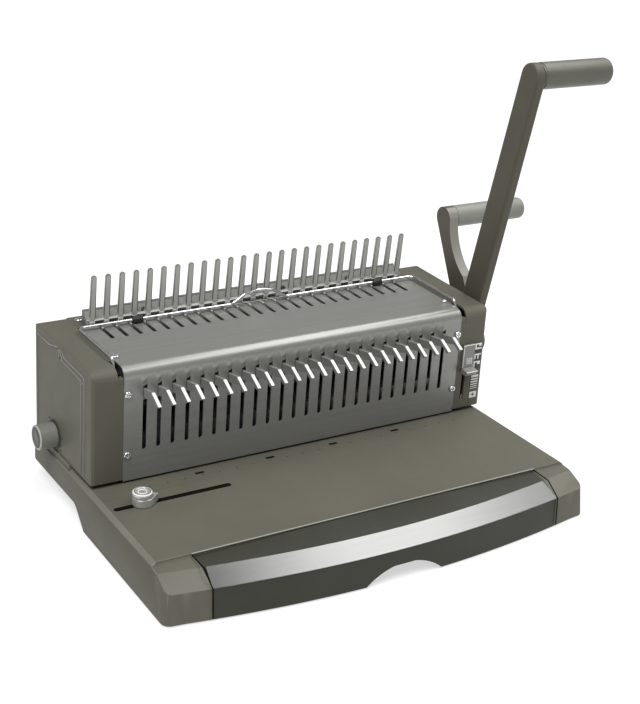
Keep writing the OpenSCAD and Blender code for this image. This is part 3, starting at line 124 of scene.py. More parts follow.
def surface(name, dark, light, rough, metal=0.0, grain=0.0, grain_scale=900.0, stretch=(1, 1, 1), mottle=18.0,
            spread=0.08, specular=0.5):
    """A finish whose tone, gloss and grain vary over the surface. dark and light are the two ends of its tone."""
    mat = bpy.data.materials.new(name)
    mat.use_nodes = True
    tree = mat.node_tree
    shader = tree.nodes["Principled BSDF"]
    shader.inputs["Metallic"].default_value = metal
    shader.inputs["Specular IOR Level"].default_value = specular
    spot = tree.nodes.new("ShaderNodeTexCoord")
    run = linked(tree, "ShaderNodeMapping", Scale=stretch)
    tree.links.new(spot.outputs["Object"], run.inputs["Vector"])

    tone = linked(tree, "ShaderNodeTexNoise", Scale=mottle, Detail=5.0, Roughness=0.55)
    ramp = tree.nodes.new("ShaderNodeValToRGB")
    for element, position, colour in zip(ramp.color_ramp.elements, (TONE_FROM, TONE_TO), (dark, light)):
        element.position = position
        element.color = (*colour, 1)
    tree.links.new(run.outputs["Vector"], tone.inputs["Vector"])
    tree.links.new(tone.outputs["Fac"], ramp.inputs["Fac"])
    tree.links.new(ramp.outputs["Color"], shader.inputs["Base Color"])

    gloss = linked(tree, "ShaderNodeTexNoise", Scale=mottle * GLOSS_FINER, Detail=3.0)
    reach = linked(tree, "ShaderNodeMapRange", To_Min=rough - spread, To_Max=rough + spread)
    tree.links.new(run.outputs["Vector"], gloss.inputs["Vector"])
    tree.links.new(gloss.outputs["Fac"], reach.inputs["Value"])
    tree.links.new(reach.outputs["Result"], shader.inputs["Roughness"])

    if grain:
        fine = linked(tree, "ShaderNodeTexNoise", Scale=grain_scale, Detail=2.0)
        bump = linked(tree, "ShaderNodeBump", Strength=grain, Distance=GRAIN_DEPTH)
        tree.links.new(run.outputs["Vector"], fine.inputs["Vector"])
        tree.links.new(fine.outputs["Fac"], bump.inputs["Height"])
        tree.links.new(bump.outputs["Normal"], shader.inputs["Normal"])
    return mat


def shade_along(mat, stops):
    """Paints light and shade along the piece's own length: multiplies a finish's tone by (share of the length,
    factor) pairs.
    """
    tree = mat.node_tree
    shader = tree.nodes["Principled BSDF"]
    tone = shader.inputs["Base Color"].links[0].from_socket
    spot = tree.nodes.new("ShaderNodeTexCoord")
    split = tree.nodes.new("ShaderNodeSeparateXYZ")
    ramp = tree.nodes.new("ShaderNodeValToRGB")
    while len(ramp.color_ramp.elements) < len(stops):
        ramp.color_ramp.elements.new(0.5)
    for element, (position, factor) in zip(ramp.color_ramp.elements, stops):
        element.position = position
        element.color = (factor, factor, factor, 1)
    mixed = tree.nodes.new("ShaderNodeMix")
    mixed.data_type = "RGBA"
    mixed.blend_type = "MULTIPLY"
    mixed.inputs["Factor"].default_value = 1.0
    first, second = (socket for socket in mixed.inputs if socket.type == "RGBA")
    result, = (socket for socket in mixed.outputs if socket.type == "RGBA")
    tree.links.new(spot.outputs["Generated"], split.inputs["Vector"])
    tree.links.new(split.outputs["X"], ramp.inputs["Fac"])
    tree.links.new(tone, first)
    tree.links.new(ramp.outputs["Color"], second)
    tree.links.new(result, shader.inputs["Base Color"])


# The grain of brushed metal runs along the machine
ALONG = (0.12, 6, 6)
MATERIALS = {
    "housing_plastic": surface("housing_plastic", (0.084, 0.081, 0.062), (0.094, 0.091, 0.070), 0.55,
                               grain=0.25, specular=0.28),
    "lever_paint": surface("lever_paint", (0.067, 0.062, 0.044), (0.075, 0.070, 0.050), 0.5,
                           grain=0.15, specular=0.25),
    "grip_plastic": surface("grip_plastic", (0.072, 0.071, 0.055), (0.082, 0.081, 0.064), 0.42, grain=0.1),
    "short_grip_plastic": surface("short_grip_plastic", (0.165, 0.168, 0.145), (0.182, 0.185, 0.162), 0.45,
                                  grain=0.1),
    "brushed_cover": surface("brushed_cover", (0.215, 0.215, 0.203), (0.24, 0.24, 0.228), 0.31, metal=0.45,
                             grain=0.07, grain_scale=420, stretch=ALONG, mottle=30, spread=0.04),
    "chrome_wire": surface("chrome_wire", (0.62, 0.63, 0.64), (0.70, 0.71, 0.72), 0.14, metal=1.0, spread=0.04),
    "finger_steel": surface("finger_steel", (0.38, 0.38, 0.355), (0.42, 0.42, 0.395), 0.5, metal=0.15,
                            grain=0.05, grain_scale=500),
    "guard_steel": surface("guard_steel", (0.19, 0.19, 0.176), (0.22, 0.22, 0.206), 0.5, metal=0.2, grain=0.1),
    "zinc_plate": surface("zinc_plate", (0.34, 0.35, 0.36), (0.44, 0.45, 0.46), 0.4, metal=0.9),
    "tool_steel": surface("tool_steel", (0.28, 0.285, 0.29), (0.36, 0.365, 0.37), 0.35, metal=0.95,
                          stretch=ALONG),
    "bronze_bush": surface("bronze_bush", (0.45, 0.30, 0.12), (0.52, 0.36, 0.15), 0.4, metal=0.9),
    "dark_screw": surface("dark_screw", (0.055, 0.055, 0.06), (0.08, 0.08, 0.085), 0.38, metal=0.6),
    "black_plastic": surface("black_plastic", (0.018, 0.018, 0.017), (0.026, 0.026, 0.024), 0.45, grain=0.15),
    "knob_plastic": surface("knob_plastic", (0.15, 0.155, 0.135), (0.17, 0.175, 0.155), 0.4, grain=0.05),
    "polished_metal": surface("polished_metal", (0.5, 0.5, 0.48), (0.58, 0.58, 0.56), 0.3, metal=0.6),
    "sleeve_rubber": surface("sleeve_rubber", (0.010, 0.010, 0.010), (0.016, 0.016, 0.016), 0.6),
    "foot_rubber": surface("foot_rubber", (0.012, 0.012, 0.012), (0.02, 0.02, 0.02), 0.8),
    "drawer_plastic": surface("drawer_plastic", (0.023, 0.023, 0.016), (0.028, 0.028, 0.020), 0.45,
                              grain=0.1, specular=0.3),
    "silver_trim": surface("silver_trim", (0.27, 0.27, 0.262), (0.30, 0.30, 0.292), 0.32, metal=0.85,
                           grain=0.04, stretch=ALONG, spread=0.03),
}
# Painted reflection on the bright strip: its tone runs from darkest at its left end to lightest at its right end,
# standing in for the lamp's reflection along its bow.
shade_along(MATERIALS["silver_trim"],
            ((0, 0.42), (0.1, 0.58), (0.26, 0.68), (0.5, 0.68), (0.75, 0.78), (1, 0.95)))

# Finishes of details that differ from the rest of their sub-part
# MARK_DARK serves dark print, the dark gap and dots by the margin knob, and the painted shade band at the guard's
# foot.
MARK_DARK = surface("mark_dark", (0.02, 0.02, 0.018), (0.03, 0.03, 0.028), 0.6)
MARK_SOFT = surface("mark_soft", (0.06, 0.058, 0.045), (0.07, 0.068, 0.052), 0.6)
# PALE_EDGE serves pale print and window frames, and the painted highlights on the hooks, the selector and the guide
# knob.
PALE_EDGE = surface("pale_edge", (0.60, 0.60, 0.58), (0.66, 0.66, 0.64), 0.45)
# PALE_LINE serves the margin knob's pale rim and the painted highlight along the tray's front edge.
PALE_LINE = surface("pale_line", (0.30, 0.30, 0.27), (0.34, 0.34, 0.31), 0.45)
# Painted highlight: a paler paint for the short lever's front faces and the left cap's side ridges, where light
# catches them.
PAINTED_HIGHLIGHT = surface("painted_highlight", (0.155, 0.151, 0.13), (0.175, 0.171, 0.148), 0.42)
# Painted highlight: a lighter copy of the housing plastic for the edges along the tray's sides, which lean towards
# the light.
RIDGE = surface("side_chamfer_painted_highlight", (0.125, 0.12, 0.098), (0.14, 0.135, 0.112), 0.45)
# Painted highlight: a lighter copy of the housing plastic for the sloping column fronts.
COLUMN_FRONT_HIGHLIGHT = surface("column_front_painted_highlight", (0.113, 0.109, 0.087), (0.125, 0.121, 0.097), 0.5, grain=0.25, specular=0.3)
HOOK_SIDE = surface("hook_side", (0.17, 0.17, 0.155), (0.21, 0.21, 0.195), 0.45, metal=0.2)
EDGE_STEEL = surface("edge_steel", (0.13, 0.13, 0.12), (0.16, 0.16, 0.15), 0.5, metal=0.2)
EDGE_DARK = surface("edge_dark", (0.06, 0.06, 0.058), (0.075, 0.075, 0.07), 0.4)
SELECTOR_GREY = surface("selector_grey", (0.17, 0.17, 0.155), (0.20, 0.20, 0.185), 0.4)
# Painted shade: near black for inner parts and pockets that lie in shade.
PAINTED_SHADE = surface("painted_shade", (0.008, 0.008, 0.007), (0.012, 0.012, 0.011), 0.8)
# HOLLOW serves the dark fields on the tray, the dark seams beside the drawer and the painted shade in the guide's
# slot.
HOLLOW = surface("hollow", (0.003, 0.003, 0.003), (0.005, 0.005, 0.004), 0.9, specular=0.05)

for node, obj in frame["nodes"].items():
    obj.data.materials.clear()
    obj.data.materials.append(MATERIALS[SLOT_OF[node]])
# Painted shade: the frame plates, stripper and spacers that show through the slots and under the cover get a
# near-black finish in place of the shade there.
for node in ("left_frame_plate", "right_frame_plate", "stripper_plate", "die_spacers"):
    frame["nodes"][node].data.materials[0] = PAINTED_SHADE


# Mesh tools

WELD = 0.002 * MM
TINY_EDGE = 0.001 * MM
FLAT = math.radians(0.4)
SHARP = math.radians(40)
FLAT_FACE_WEIGHT = 80
# A rounded corner takes at most this share of the two lines that meet in it
CORNER_SHARE = 0.49


def share(value):
    """The value, kept between 0 and 1."""
    return min(1, max(0, value))


def place(name, bm, node, in_deck=True, paint=None):
    """Puts a mesh on the body of a CAD node, in that node's finish."""
    if in_deck:
        bm.transform(DECK)
    bmesh.ops.recalc_face_normals(bm, faces=bm.faces)
    mesh = bpy.data.meshes.new(name)
    bm.to_mesh(mesh)
    bm.free()
    mesh.materials.append(paint or MATERIALS[SLOT_OF[node]])
    for face in mesh.polygons:
        face.use_smooth = True
    obj = bpy.data.objects.new(name, mesh)
    bpy.context.collection.objects.link(obj)
    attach(obj, BODY_OF[node])
    return obj


def rounded(obj, width, segments=2, angle=30):
    """Rounds the edges sharper than the angle, and keeps flat faces flat. width is in millimetres."""
    bevel = obj.modifiers.new("rounding", "BEVEL")
    bevel.width = width * MM
    bevel.segments = segments
    bevel.limit_method = "ANGLE"
    bevel.angle_limit = math.radians(angle)
    bevel.use_clamp_overlap = True
    bevel.harden_normals = False
    flat = obj.modifiers.new("flat_faces", "WEIGHTED_NORMAL")
    flat.keep_sharp = True
    flat.weight = FLAT_FACE_WEIGHT
    return obj


def stand_in(name, bm, node, width=0, segments=2, angle=40, paint=None):
    """A new piece in the place of a CAD node, with its edges rounded where a width is given."""
    obj = place(name, bm, node, paint=paint)
    if width:
        rounded(obj, width, segments, angle)
    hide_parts(node)
    return obj


def from_cad(node):
    """A mesh of the CAD node, with the triangles of each flat face joined."""
    source = frame["nodes"][node].data
    bm = bmesh.new()
    corners = [bm.verts.new(v.co) for v in source.vertices]
    for face in source.polygons:
        spots = [corners[i] for i in face.vertices]
        if len(set(spots)) > 2 and bm.faces.get(spots) is None:
            bm.faces.new(spots)
    bmesh.ops.remove_doubles(bm, verts=bm.verts, dist=WELD)
    bmesh.ops.dissolve_degenerate(bm, edges=bm.edges, dist=TINY_EDGE)
    bmesh.ops.dissolve_limit(bm, angle_limit=FLAT, verts=bm.verts, edges=bm.edges)
    return bm


def bend(bm, shape):
    """Takes a mesh of the frame to deck millimetres, and moves each of its corners by shape."""
    bm.transform(DECK.inverted())
    for v in bm.verts:
        v.co = shape(v.co)


def soft_edges(bm, chosen, width, segments):
    """Bevels the sharp edges whose two ends are both chosen."""
    edges = [e for e in bm.edges if all(chosen(v.co) for v in e.verts) and len(e.link_faces) == 2
             and e.calc_face_angle(0) > SHARP]
    bmesh.ops.bevel(bm, geom=edges, offset=width, offset_type="OFFSET", segments=segments, profile=0.5,
                    affect="EDGES", clamp_overlap=True)


def softened(node, width, segments=2, angle=32, shape=None):
    """The CAD node with rounded edges, and with its corners moved where a shape is given."""
    bm = from_cad(node)
    if shape:
        bend(bm, shape)
    obj = place(node + "_soft", bm, node, in_deck=bool(shape))
    rounded(obj, width, segments, angle)
    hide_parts(node)
    return obj


def box_outline(x0, x1, z0, z1):
    """The four corners of an upright rectangle."""
    return [(x0, z0), (x1, z0), (x1, z1), (x0, z1)]


def add_prism(bm, outline, start, end, axis="X"):
    """Draws an outline out from start to end along an axis; its points lie in the other two axes."""
    def spot(p, t):
        return {"X": (t, p[0], p[1]), "Y": (p[0], t, p[1]), "Z": (p[0], p[1], t)}[axis]
    low = [bm.verts.new(spot(p, start)) for p in outline]
    high = [bm.verts.new(spot(p, end)) for p in outline]
    bm.faces.new(low)
    bm.faces.new(high)
    for i in range(len(outline)):
        bm.faces.new((low[i - 1], low[i], high[i], high[i - 1]))
    return bm


def prism(outline, start, end, axis="X"):
    """add_prism on a mesh of its own."""
    return add_prism(bmesh.new(), outline, start, end, axis)


def add_ring(bm, middle, radius, across, other, sides):
    """A ring of corners around a middle, in the plane of across and other."""
    return [bm.verts.new(middle + radius * (math.cos(a) * across + math.sin(a) * other))
            for a in (2 * math.pi * k / sides for k in range(sides))]


def join_rings(bm, rings):
    """Faces between each ring and the next; a ring of one corner is a tip."""
    for a, b in zip(rings, rings[1:]):
        sides = max(len(a), len(b))
        for k in range(sides):
            n = (k + 1) % sides
            if len(a) == 1:
                bm.faces.new((a[0], b[k], b[n]))
            elif len(b) == 1:
                bm.faces.new((a[k], b[0], a[n]))
            else:
                bm.faces.new((a[k], b[k], b[n], a[n]))


def add_lathe(bm, profile, centre, axis=(1, 0, 0), sides=64):
    """profile: (distance along the axis, radius), from one end to the other; a radius of 0 closes an end."""
    axis = Vector(axis).normalized()
    across = axis.orthogonal().normalized()
    other = axis.cross(across)
    rings = []
    for along, radius in profile:
        middle = Vector(centre) + axis * along
        rings.append(add_ring(bm, middle, radius, across, other, sides) if radius > 0 else [bm.verts.new(middle)])
    join_rings(bm, rings)
    return bm


def lathe(profile, centre, axis=(1, 0, 0), sides=64):
    """add_lathe on a mesh of its own."""
    return add_lathe(bmesh.new(), profile, centre, axis, sides)


def add_tube(bm, points, radius, sides=20):
    """A round wire along a line of points, closed at both ends."""
    points = [Vector(p) for p in points]
    runs = [(b - a).normalized() for a, b in zip(points, points[1:])]
    across = runs[0].orthogonal().normalized()
    rings = []
    for i, p in enumerate(points):
        run = (runs[max(i - 1, 0)] + runs[min(i, len(runs) - 1)]).normalized()
        across = (across - run * across.dot(run)).normalized()
        rings.append(add_ring(bm, p, radius, across, run.cross(across), sides))
    join_rings(bm, rings)
    bm.faces.new(rings[0])
    bm.faces.new(rings[-1])
    return bm


def arc(cx, cy, r, start, end, steps=8):
    """Points on an arc, from the start angle to the end angle in degrees."""
    turns = (math.radians(start + (end - start) * k / steps) for k in range(steps + 1))
    return [(cx + r * math.cos(a), cy + r * math.sin(a)) for a in turns]


def rounded_corner(before, here, after, r, steps):
    """The curve that rounds one corner of a line."""
    a, b = (before - here).normalized(), (after - here).normalized()
    room = CORNER_SHARE * min((before - here).length, (after - here).length)
    reach = min(r / math.tan(a.angle(b) / 2), room)
    start, end = here + a * reach, here + b * reach
    parts = (k / steps for k in range(steps + 1))
    return [(1 - t) ** 2 * start + 2 * t * (1 - t) * here + t * t * end for t in parts]


def bent(points, radii, steps=8):
    """The line of points with each inner corner rounded to its radius."""
    points = [Vector(p) for p in points]
    line = [points[0]]
    for before, here, after, r in zip(points, points[1:], points[2:], radii):
        line += rounded_corner(before, here, after, r, steps)
    return line + [points[-1]]


def rounded_corners(points, radii, steps=6):
    """A flat outline with some of its corners rounded: radii gives one radius for each point."""
    points = [Vector(p) for p in points]
    line = []
    for i, (here, r) in enumerate(zip(points, radii)):
        after = points[(i + 1) % len(points)]
        line += rounded_corner(points[i - 1], here, after, r, steps) if r else [here]
    return [tuple(p) for p in line]


def copied(source, move):
    """A copy of a mesh, moved by a matrix."""
    other = source.copy()
    other.transform(move)
    return other


def joined(parts):
    """One mesh from several, which are used up."""
    bm = bmesh.new()
    for part in parts:
        mesh = bpy.data.meshes.new("joining")
        part.to_mesh(mesh)
        part.free()
        bm.from_mesh(mesh)
        bpy.data.meshes.remove(mesh)
    return bm


def carved(bm, cutter):
    """A mesh minus a cutter; both are used up."""
    objs = []
    for part in (bm, cutter):
        bmesh.ops.recalc_face_normals(part, faces=part.faces)
        mesh = bpy.data.meshes.new("carving")
        part.to_mesh(mesh)
        part.free()
        objs.append(bpy.data.objects.new("carving", mesh))
        bpy.context.collection.objects.link(objs[-1])
    body, tool = objs
    step = body.modifiers.new("carve", "BOOLEAN")
    step.operation = "DIFFERENCE"
    step.solver = "EXACT"
    step.object = tool
    graph = bpy.context.evaluated_depsgraph_get()
    mesh = bpy.data.meshes.new_from_object(body.evaluated_get(graph))
    out = bmesh.new()
    out.from_mesh(mesh)
    bpy.data.objects.remove(body)
    bpy.data.objects.remove(tool)
    bpy.data.meshes.remove(mesh)
    return out


def plates(name, node, paint, blocks, width=0.15):
    """Thin raised plates: each block gives two opposite corners."""
    bm = bmesh.new()
    for (x0, y0, z0), (x1, y1, z1) in blocks:
        add_prism(bm, box_outline(y0, y1, z0, z1), x0, x1)
    return rounded(place(name, bm, node, paint=paint), width, 1, 40)


def on_face(left, face, raised, *blocks):
    """Blocks that stand out to the front of an upright face. Each gives its left, foot, right and top, with left
    and right counted from a left edge."""
    return [((left + x0, face - raised, z0), (left + x1, face, z1)) for x0, z0, x1, z1 in blocks]


# Cover sheet, with a low swelling beside the top of each front slot. A swelling falls off from its middle like a
# bell, and its rim is sunk into the panel.

EDGE_RADIUS = 10.5
PANEL_TOP = TOP - EDGE_RADIUS
DOME_HALF_WIDTH, DOME_HALF_HEIGHT, DOME_DEPTH = 3.9, 6.0, 0.75
DOME_ASIDE, DOME_Z = -1.3, TOP - 13.2
DOME_STEEP, DOME_SUNK = 2.6, 0.02
DOME_RINGS, DOME_SIDES = 8, 24


def on_profile(up, out):
    """A place (y, z) on the front panel and its rounded top edge: up runs from the tray, out stands off it."""
    if up < PANEL_TOP:
        return -out, up
    turn = min((up - PANEL_TOP) / EDGE_RADIUS, math.pi / 2)
    reach = EDGE_RADIUS + out
    return EDGE_RADIUS - reach * math.cos(turn), PANEL_TOP + reach * math.sin(turn)


def dome_lift(reach):
    """How far a swelling stands out, from its middle (0) to its rim (1), which lies just inside the panel."""
    rim = math.exp(-DOME_STEEP)
    return DOME_DEPTH * (math.exp(-DOME_STEEP * reach ** 2) - rim) / (1 - rim) - DOME_SUNK * reach


def add_dome(bm, x):
    """One swelling, ring by ring from its middle."""
    before = [bm.verts.new((x, *on_profile(DOME_Z, dome_lift(0))))] * DOME_SIDES
    for ring in range(1, DOME_RINGS + 1):
        reach = ring / DOME_RINGS
        row = []
        for k in range(DOME_SIDES):
            turn = 2 * math.pi * k / DOME_SIDES
            y, z = on_profile(DOME_Z + DOME_HALF_HEIGHT * reach * math.sin(turn), dome_lift(reach))
            row.append(bm.verts.new((x + DOME_HALF_WIDTH * reach * math.cos(turn), y, z)))
        for k in range(DOME_SIDES):
            n = (k + 1) % DOME_SIDES
            corners = [before[k], row[k], row[n], before[n]]
            bm.faces.new(corners[:3] if ring == 1 else corners)
        before = row


softened("cover_sheet", 0.2)
bumps = bmesh.new()
for x in COMB:
    add_dome(bumps, x + DOME_ASIDE)
place("cover_bumps", bumps, "cover_sheet")


# End caps: ridges on the left one's side, drawn as (y, z) lines; the right one stands out towards its foot and rear

CAP_SIDE = CAP_FACE + 0.3
PANEL_FROM, PANEL_TO = CAP_SIDE + 0.2, CAP_SIDE + 1.0
RIDGE_X = CAP_SIDE - 0.25
RIDGE_R, RIDGE_BEND = 0.75, 2.5
RIDGE_LINES = (
    ((22.4, 6), (23.2, 96.6), (26.0, 98.6), (64.5, 100.2), (72.6, 109.4)),
    ((15.6, 6), (15.6, 99.5), (18.5, 103.6), (62, 105.2), (68, 110.6)),
    ((76, 109.4), (97.5, 104.9), (123.4, 105.8)),
)
FORK_LINES = (((73.4, 109.0), (71.6, 99.5), 0.8), ((71.6, 99.5), (64.5, 100.2), 0.6))
BUTTON = [(0, 0), (0, 1.5), (0.8, 1.2), (1.0, 0)]
BUTTON_AT = (CAP_SIDE, 19.4, 97.0)
SWELL_FROM, SWELL_TO = 205.0, -CAP_FACE
SWELL_ALL, SWELL_FOOT, SWELL_REAR = 1.6, 1.6, 4.0
CAP_TALL, CAP_DEEP = 113.0, deck_box("left_end_cap")[1].y


def flatten_panel(co):
    """The left cap's side panel lies only a little under its face."""
    return Vector((CAP_SIDE, co.y, co.z)) if PANEL_FROM < co.x < PANEL_TO else co


def spread_cap(co):
    """The right cap's outer side stands out, more towards its foot and its rear."""
    if co.x < SWELL_FROM:
        return co
    wide = SWELL_ALL + SWELL_FOOT * share(1 - co.z / CAP_TALL) + SWELL_REAR * share(co.y / CAP_DEEP)
    return Vector((co.x + wide * (co.x - SWELL_FROM) / (SWELL_TO - SWELL_FROM), co.y, co.z))


softened("left_end_cap", 0.9, 3, shape=flatten_panel)
# The ridges and the small button are painted paler than the cap, as painted highlights along its panel lines.
ridges = bmesh.new()
for line in RIDGE_LINES:
    add_tube(ridges, bent([(RIDGE_X, *p) for p in line], [RIDGE_BEND] * len(line), 5), RIDGE_R, 8)
for start, end, radius in FORK_LINES:
    add_tube(ridges, [(RIDGE_X, *start), (RIDGE_X, *end)], radius, 8)
add_lathe(ridges, BUTTON, BUTTON_AT, (-1, 0, 0), 16)
place("cap_ridges", ridges, "left_end_cap", paint=PAINTED_HIGHLIGHT)
softened("right_end_cap", 0.9, 3, shape=spread_cap)


# Rear housing

softened("rear_housing", 0.6)


# Base: its sides stand out towards the front and the foot

BASE_SIDE = BASE_HALF - 4.5
SPREAD = 3.4
SPREAD_FROM_Y, SPREAD_RUN = 46, 200
SPREAD_FROM_Z, SPREAD_DROP = -3, 39
COLUMN_INSIDE = 183.5
CORNER_BACK, CORNER_TOP = -160, -13
SLOPE_FRONT, SLOPE_BACK, SLOPE_LOW = -168, -134, -15
RIM_LOW, RIM_BACK = -0.5, 60
# The painted highlight on the side edges starts above LIGHT_LOW, the one on the column fronts in front of
# LIGHT_FRONT.
LIGHT_LOW, LIGHT_FRONT = -12, -140


def spread_base(co):
    """The base's sides stand out towards the front and towards their foot."""
    if abs(co.x) < BASE_SIDE:
        return co
    run = share((SPREAD_FROM_Y - co.y) / SPREAD_RUN)
    drop = share((SPREAD_FROM_Z - co.z) / SPREAD_DROP)
    wide = SPREAD * run + SPREAD * drop * share(4 * run)
    return Vector((co.x + math.copysign(wide, co.x), co.y, co.z))


def front_corner(co):
    """The upright edges at the two front corners."""
    return abs(co.x) > BASE_HALF - 3 and co.y < CORNER_BACK and co.z < CORNER_TOP


def front_slope(co):
    """The outer edges of the sloping column fronts."""
    return abs(co.x) > BASE_HALF - 3 and SLOPE_FRONT < co.y < SLOPE_BACK and co.z > SLOPE_LOW


def side_top(co):
    """The top edges along the tray's two sides."""
    return abs(co.x) > BASE_HALF - 4 and co.z > RIM_LOW and co.y < RIM_BACK


def base_finish(spot, normal):
    """The number of a face's finish: 1 for the painted highlight on the edge along the sides, 2 for the painted
    highlight on the sloping column fronts.
    """
    if abs(spot.x) > COLUMN_INSIDE and spot.y < LIGHT_FRONT and -0.9 < normal.y < -0.2 and normal.z > 0.4:
        return 2
    leans_out = 0.3 < abs(normal.x) < 0.95 and normal.z > 0.3
    return int(abs(spot.x) > BASE_HALF - 6 and spot.z > LIGHT_LOW and leans_out)


def base_spread():
    """The base with its sides spread, its edges softened, and its plain finish with two painted highlights, on the
    edges along the sides and on the sloping column fronts.
    """
    bm = from_cad("base_shell")
    bend(bm, spread_base)
    for chosen, width, segments in ((front_corner, 7, 6), (front_slope, 4.5, 1), (side_top, 2.6, 1)):
        soft_edges(bm, chosen, width, segments)
    bm.normal_update()
    for face in bm.faces:
        face.material_index = base_finish(face.calc_center_median(), face.normal)
    base = stand_in("base_spread", bm, "base_shell", 1.1, 3, 32)
    base.data.materials.append(RIDGE)
    base.data.materials.append(COLUMN_FRONT_HIGHLIGHT)


base_spread()


# Drawer with its bright strip, rear leg, top hooks and edge guide

TRIM_END, TRIM_LONGER = 150, 2.4


def longer_trim(co):
    """The bright strip reaches nearly to the ends of the drawer's head."""
    return Vector((co.x + math.copysign(TRIM_LONGER, co.x), co.y, co.z)) if abs(co.x) > TRIM_END else co


softened("chip_drawer", 0.8, 3)
softened("drawer_trim", 0.3, shape=longer_trim)
softened("rear_legs", 1.2, 3)
softened("top_hooks", 0.3)
softened("edge_guide", 0.8, 3)


# Comb size selector: a plate with a thumb rest and a stem, both drawn as (y, z) outlines

SLIDE_LEFT, SLIDE_RIGHT = across_machine("size_selector")
SLIDE_WIDE = SLIDE_RIGHT - SLIDE_LEFT
SLIDE_TOP = deck_box("size_selector")[1].z
SLIDE_FACE = -2.5
REST = [(-0.3, 44.0), (-7.6, 43.2), (-10.9, 47.0), (-10.9, 48.4), (SLIDE_FACE, 50.0), (-0.3, 50.0)]
STEM = box_outline(-1.3, 2.8, 43.7, 49.7)
STEM_LEFT, STEM_RIGHT = SLIDE_LEFT + 3, SLIDE_LEFT + 6
RUNG_STEP = 1.7


def selector_slider():
    """The plate, its thumb rest and the stem that goes through the cap's slot."""
    plate = rounded_corners(box_outline(SLIDE_LEFT, SLIDE_RIGHT, 48, SLIDE_TOP), [0, 0, 1.5, 1.5])
    bm = prism(plate, SLIDE_FACE, -0.3, "Y")
    add_prism(bm, REST, SLIDE_LEFT, SLIDE_RIGHT)
    add_prism(bm, STEM, STEM_LEFT, STEM_RIGHT)
    stand_in("selector_slider", bm, "size_selector", 0.45, paint=SELECTOR_GREY)


def selector_highlights_and_ladder():
    """Painted highlights along the plate's top and left edges and along the rest, and the pale ladder mark on the
    plate.
    """
    face = SLIDE_FACE + 0.1
    edges = on_face(SLIDE_LEFT, face, 0.35, (-0.1, 74.0, SLIDE_WIDE, 74.9), (-0.15, 50.5, 0.6, 74.5))
    edges += on_face(SLIDE_LEFT, -10.2, 0.8, (-0.1, 47.7, SLIDE_WIDE, 48.6))
    rails = [(x, 53.4, x + 0.8, 61.0) for x in (4.8, 10.4)]
    rungs = [(6.2, 54 + RUNG_STEP * k, 9.8, 54.8 + RUNG_STEP * k) for k in range(4)]
    edges += on_face(SLIDE_LEFT, face, 0.22, *rails, *rungs)
    plates("selector_highlights_and_ladder", "size_selector", PALE_EDGE, edges)


selector_slider()
selector_highlights_and_ladder()


# Scale beside the selector: a raised sign above, the cap's own colour below, and plain pale patches on both. The
# patches are counted from the sign's left edge.

SIGN_LEFT = deck_box("scale_panel")[0].x
SIGN_RIGHT = SIGN_LEFT + 9.4
SIGN_FOOT, SIGN_TOP = 46.5, deck_box("scale_panel")[1].z
SIGN_FACE, SCALE_FACE = -0.8, -0.35
FIGURE_PATCHES = (
    (0.6, 67.6, 8.7, 69.4), (0.6, 69.3, 2.4, 74.4), (2.3, 72.7, 8.7, 74.4), (5.1, 71.0, 8.7, 72.8),
    (0.6, 57.0, 2.2, 62.8), (2.1, 61.2, 8.7, 62.8), (4.4, 57.0, 6.0, 61.3),
    (0.6, 48.3, 2.1, 54.4), (2.0, 52.8, 8.7, 54.4), (5.2, 50.6, 8.7, 52.9),
)
DASH_LEFT, DASH_RIGHT = -0.2, 8.6
# The foot and the height of the arrow's field and of each dash above it
DASHES = ((13.4, 6.8), (36.4, 2.3), (33.4, 1.6), (30.6, 1.5), (28.0, 1.1), (25.7, 0.8), (23.6, 0.6))
ARROW = ((3.4, 15.2, 4.7, 18.6), (1.4, 16.4, 6.4, 17.2))


def scale():
    """The sign, the lower field and their marks."""
    sign = prism(box_outline(SIGN_FACE, 0, SIGN_FOOT, SIGN_TOP), SIGN_LEFT, SIGN_RIGHT)
    stand_in("scale_sign", sign, "scale_panel", 0.2, 1)
    plates("scale_base", "scale_panel", MATERIALS["housing_plastic"],
           on_face(SIGN_LEFT, 0, -SCALE_FACE, (-0.4, 8.2, SIGN_RIGHT - SIGN_LEFT, SIGN_FOOT - 0.1)), 0.1)
    dashes = [(DASH_LEFT, foot, DASH_RIGHT, foot + tall) for foot, tall in DASHES]
    marks = on_face(SIGN_LEFT, SIGN_FACE, 0.12, *FIGURE_PATCHES) + on_face(SIGN_LEFT, SCALE_FACE, 0.15, *dashes)
    plates("scale_marks", "scale_panel", PALE_EDGE, marks, 0.05)
    plates("scale_arrow", "scale_panel", MARK_DARK, on_face(SIGN_LEFT, SCALE_FACE - 0.15, 0.06, *ARROW), 0.03)


def selector_slot_painted_shade():
    """Painted shade: a near-black back and two near-black sides in the cap's slot."""
    blocks = [((SLIDE_LEFT + 0.1, 6.3, 4), (SLIDE_LEFT + 9.4, 6.7, 54))]
    blocks += [((x, 0.1, 13.1), (x + 0.46, 2.4, 50.3)) for x in (SLIDE_LEFT + 2.2, SLIDE_LEFT + 6.34)]
    plates("selector_slot_painted_shade", "right_end_cap", PAINTED_SHADE, blocks, 0.05)


scale()
selector_slot_painted_shade()


# Marks on the tray, and the painted shade that fills the guide's slot

MARK_HIGH = 0.06
MARK_DEEP = 0.5
FIELDS_AT = (-111.5, -36.4, 34.5, 106.9)
FIELD_HALF, FIELD_Y = 4.6, (-11.2, -7.8)
DOT_STEP, DOT_Y, DOT_R = 18, -14.5, 1.0
OUTLINE = ((-209, -23.2, -97, -22.7), (-97.3, -37.5, -96.7, -22.9))
SLOT_ENDS, SLOT_Y, SLOT_R, SLOT_DEEP = (-98.7, -209.2), -41, 3.0, 2.6
TRAY_EDGE_HALF, TRAY_EDGE_Y = 184, (-135.2, -134.3)


def lying(x0, y0, x1, y1, high=MARK_HIGH):
    """A thin block that lies in the tray's surface."""
    return ((x0, y0, -MARK_DEEP), (x1, y1, high))


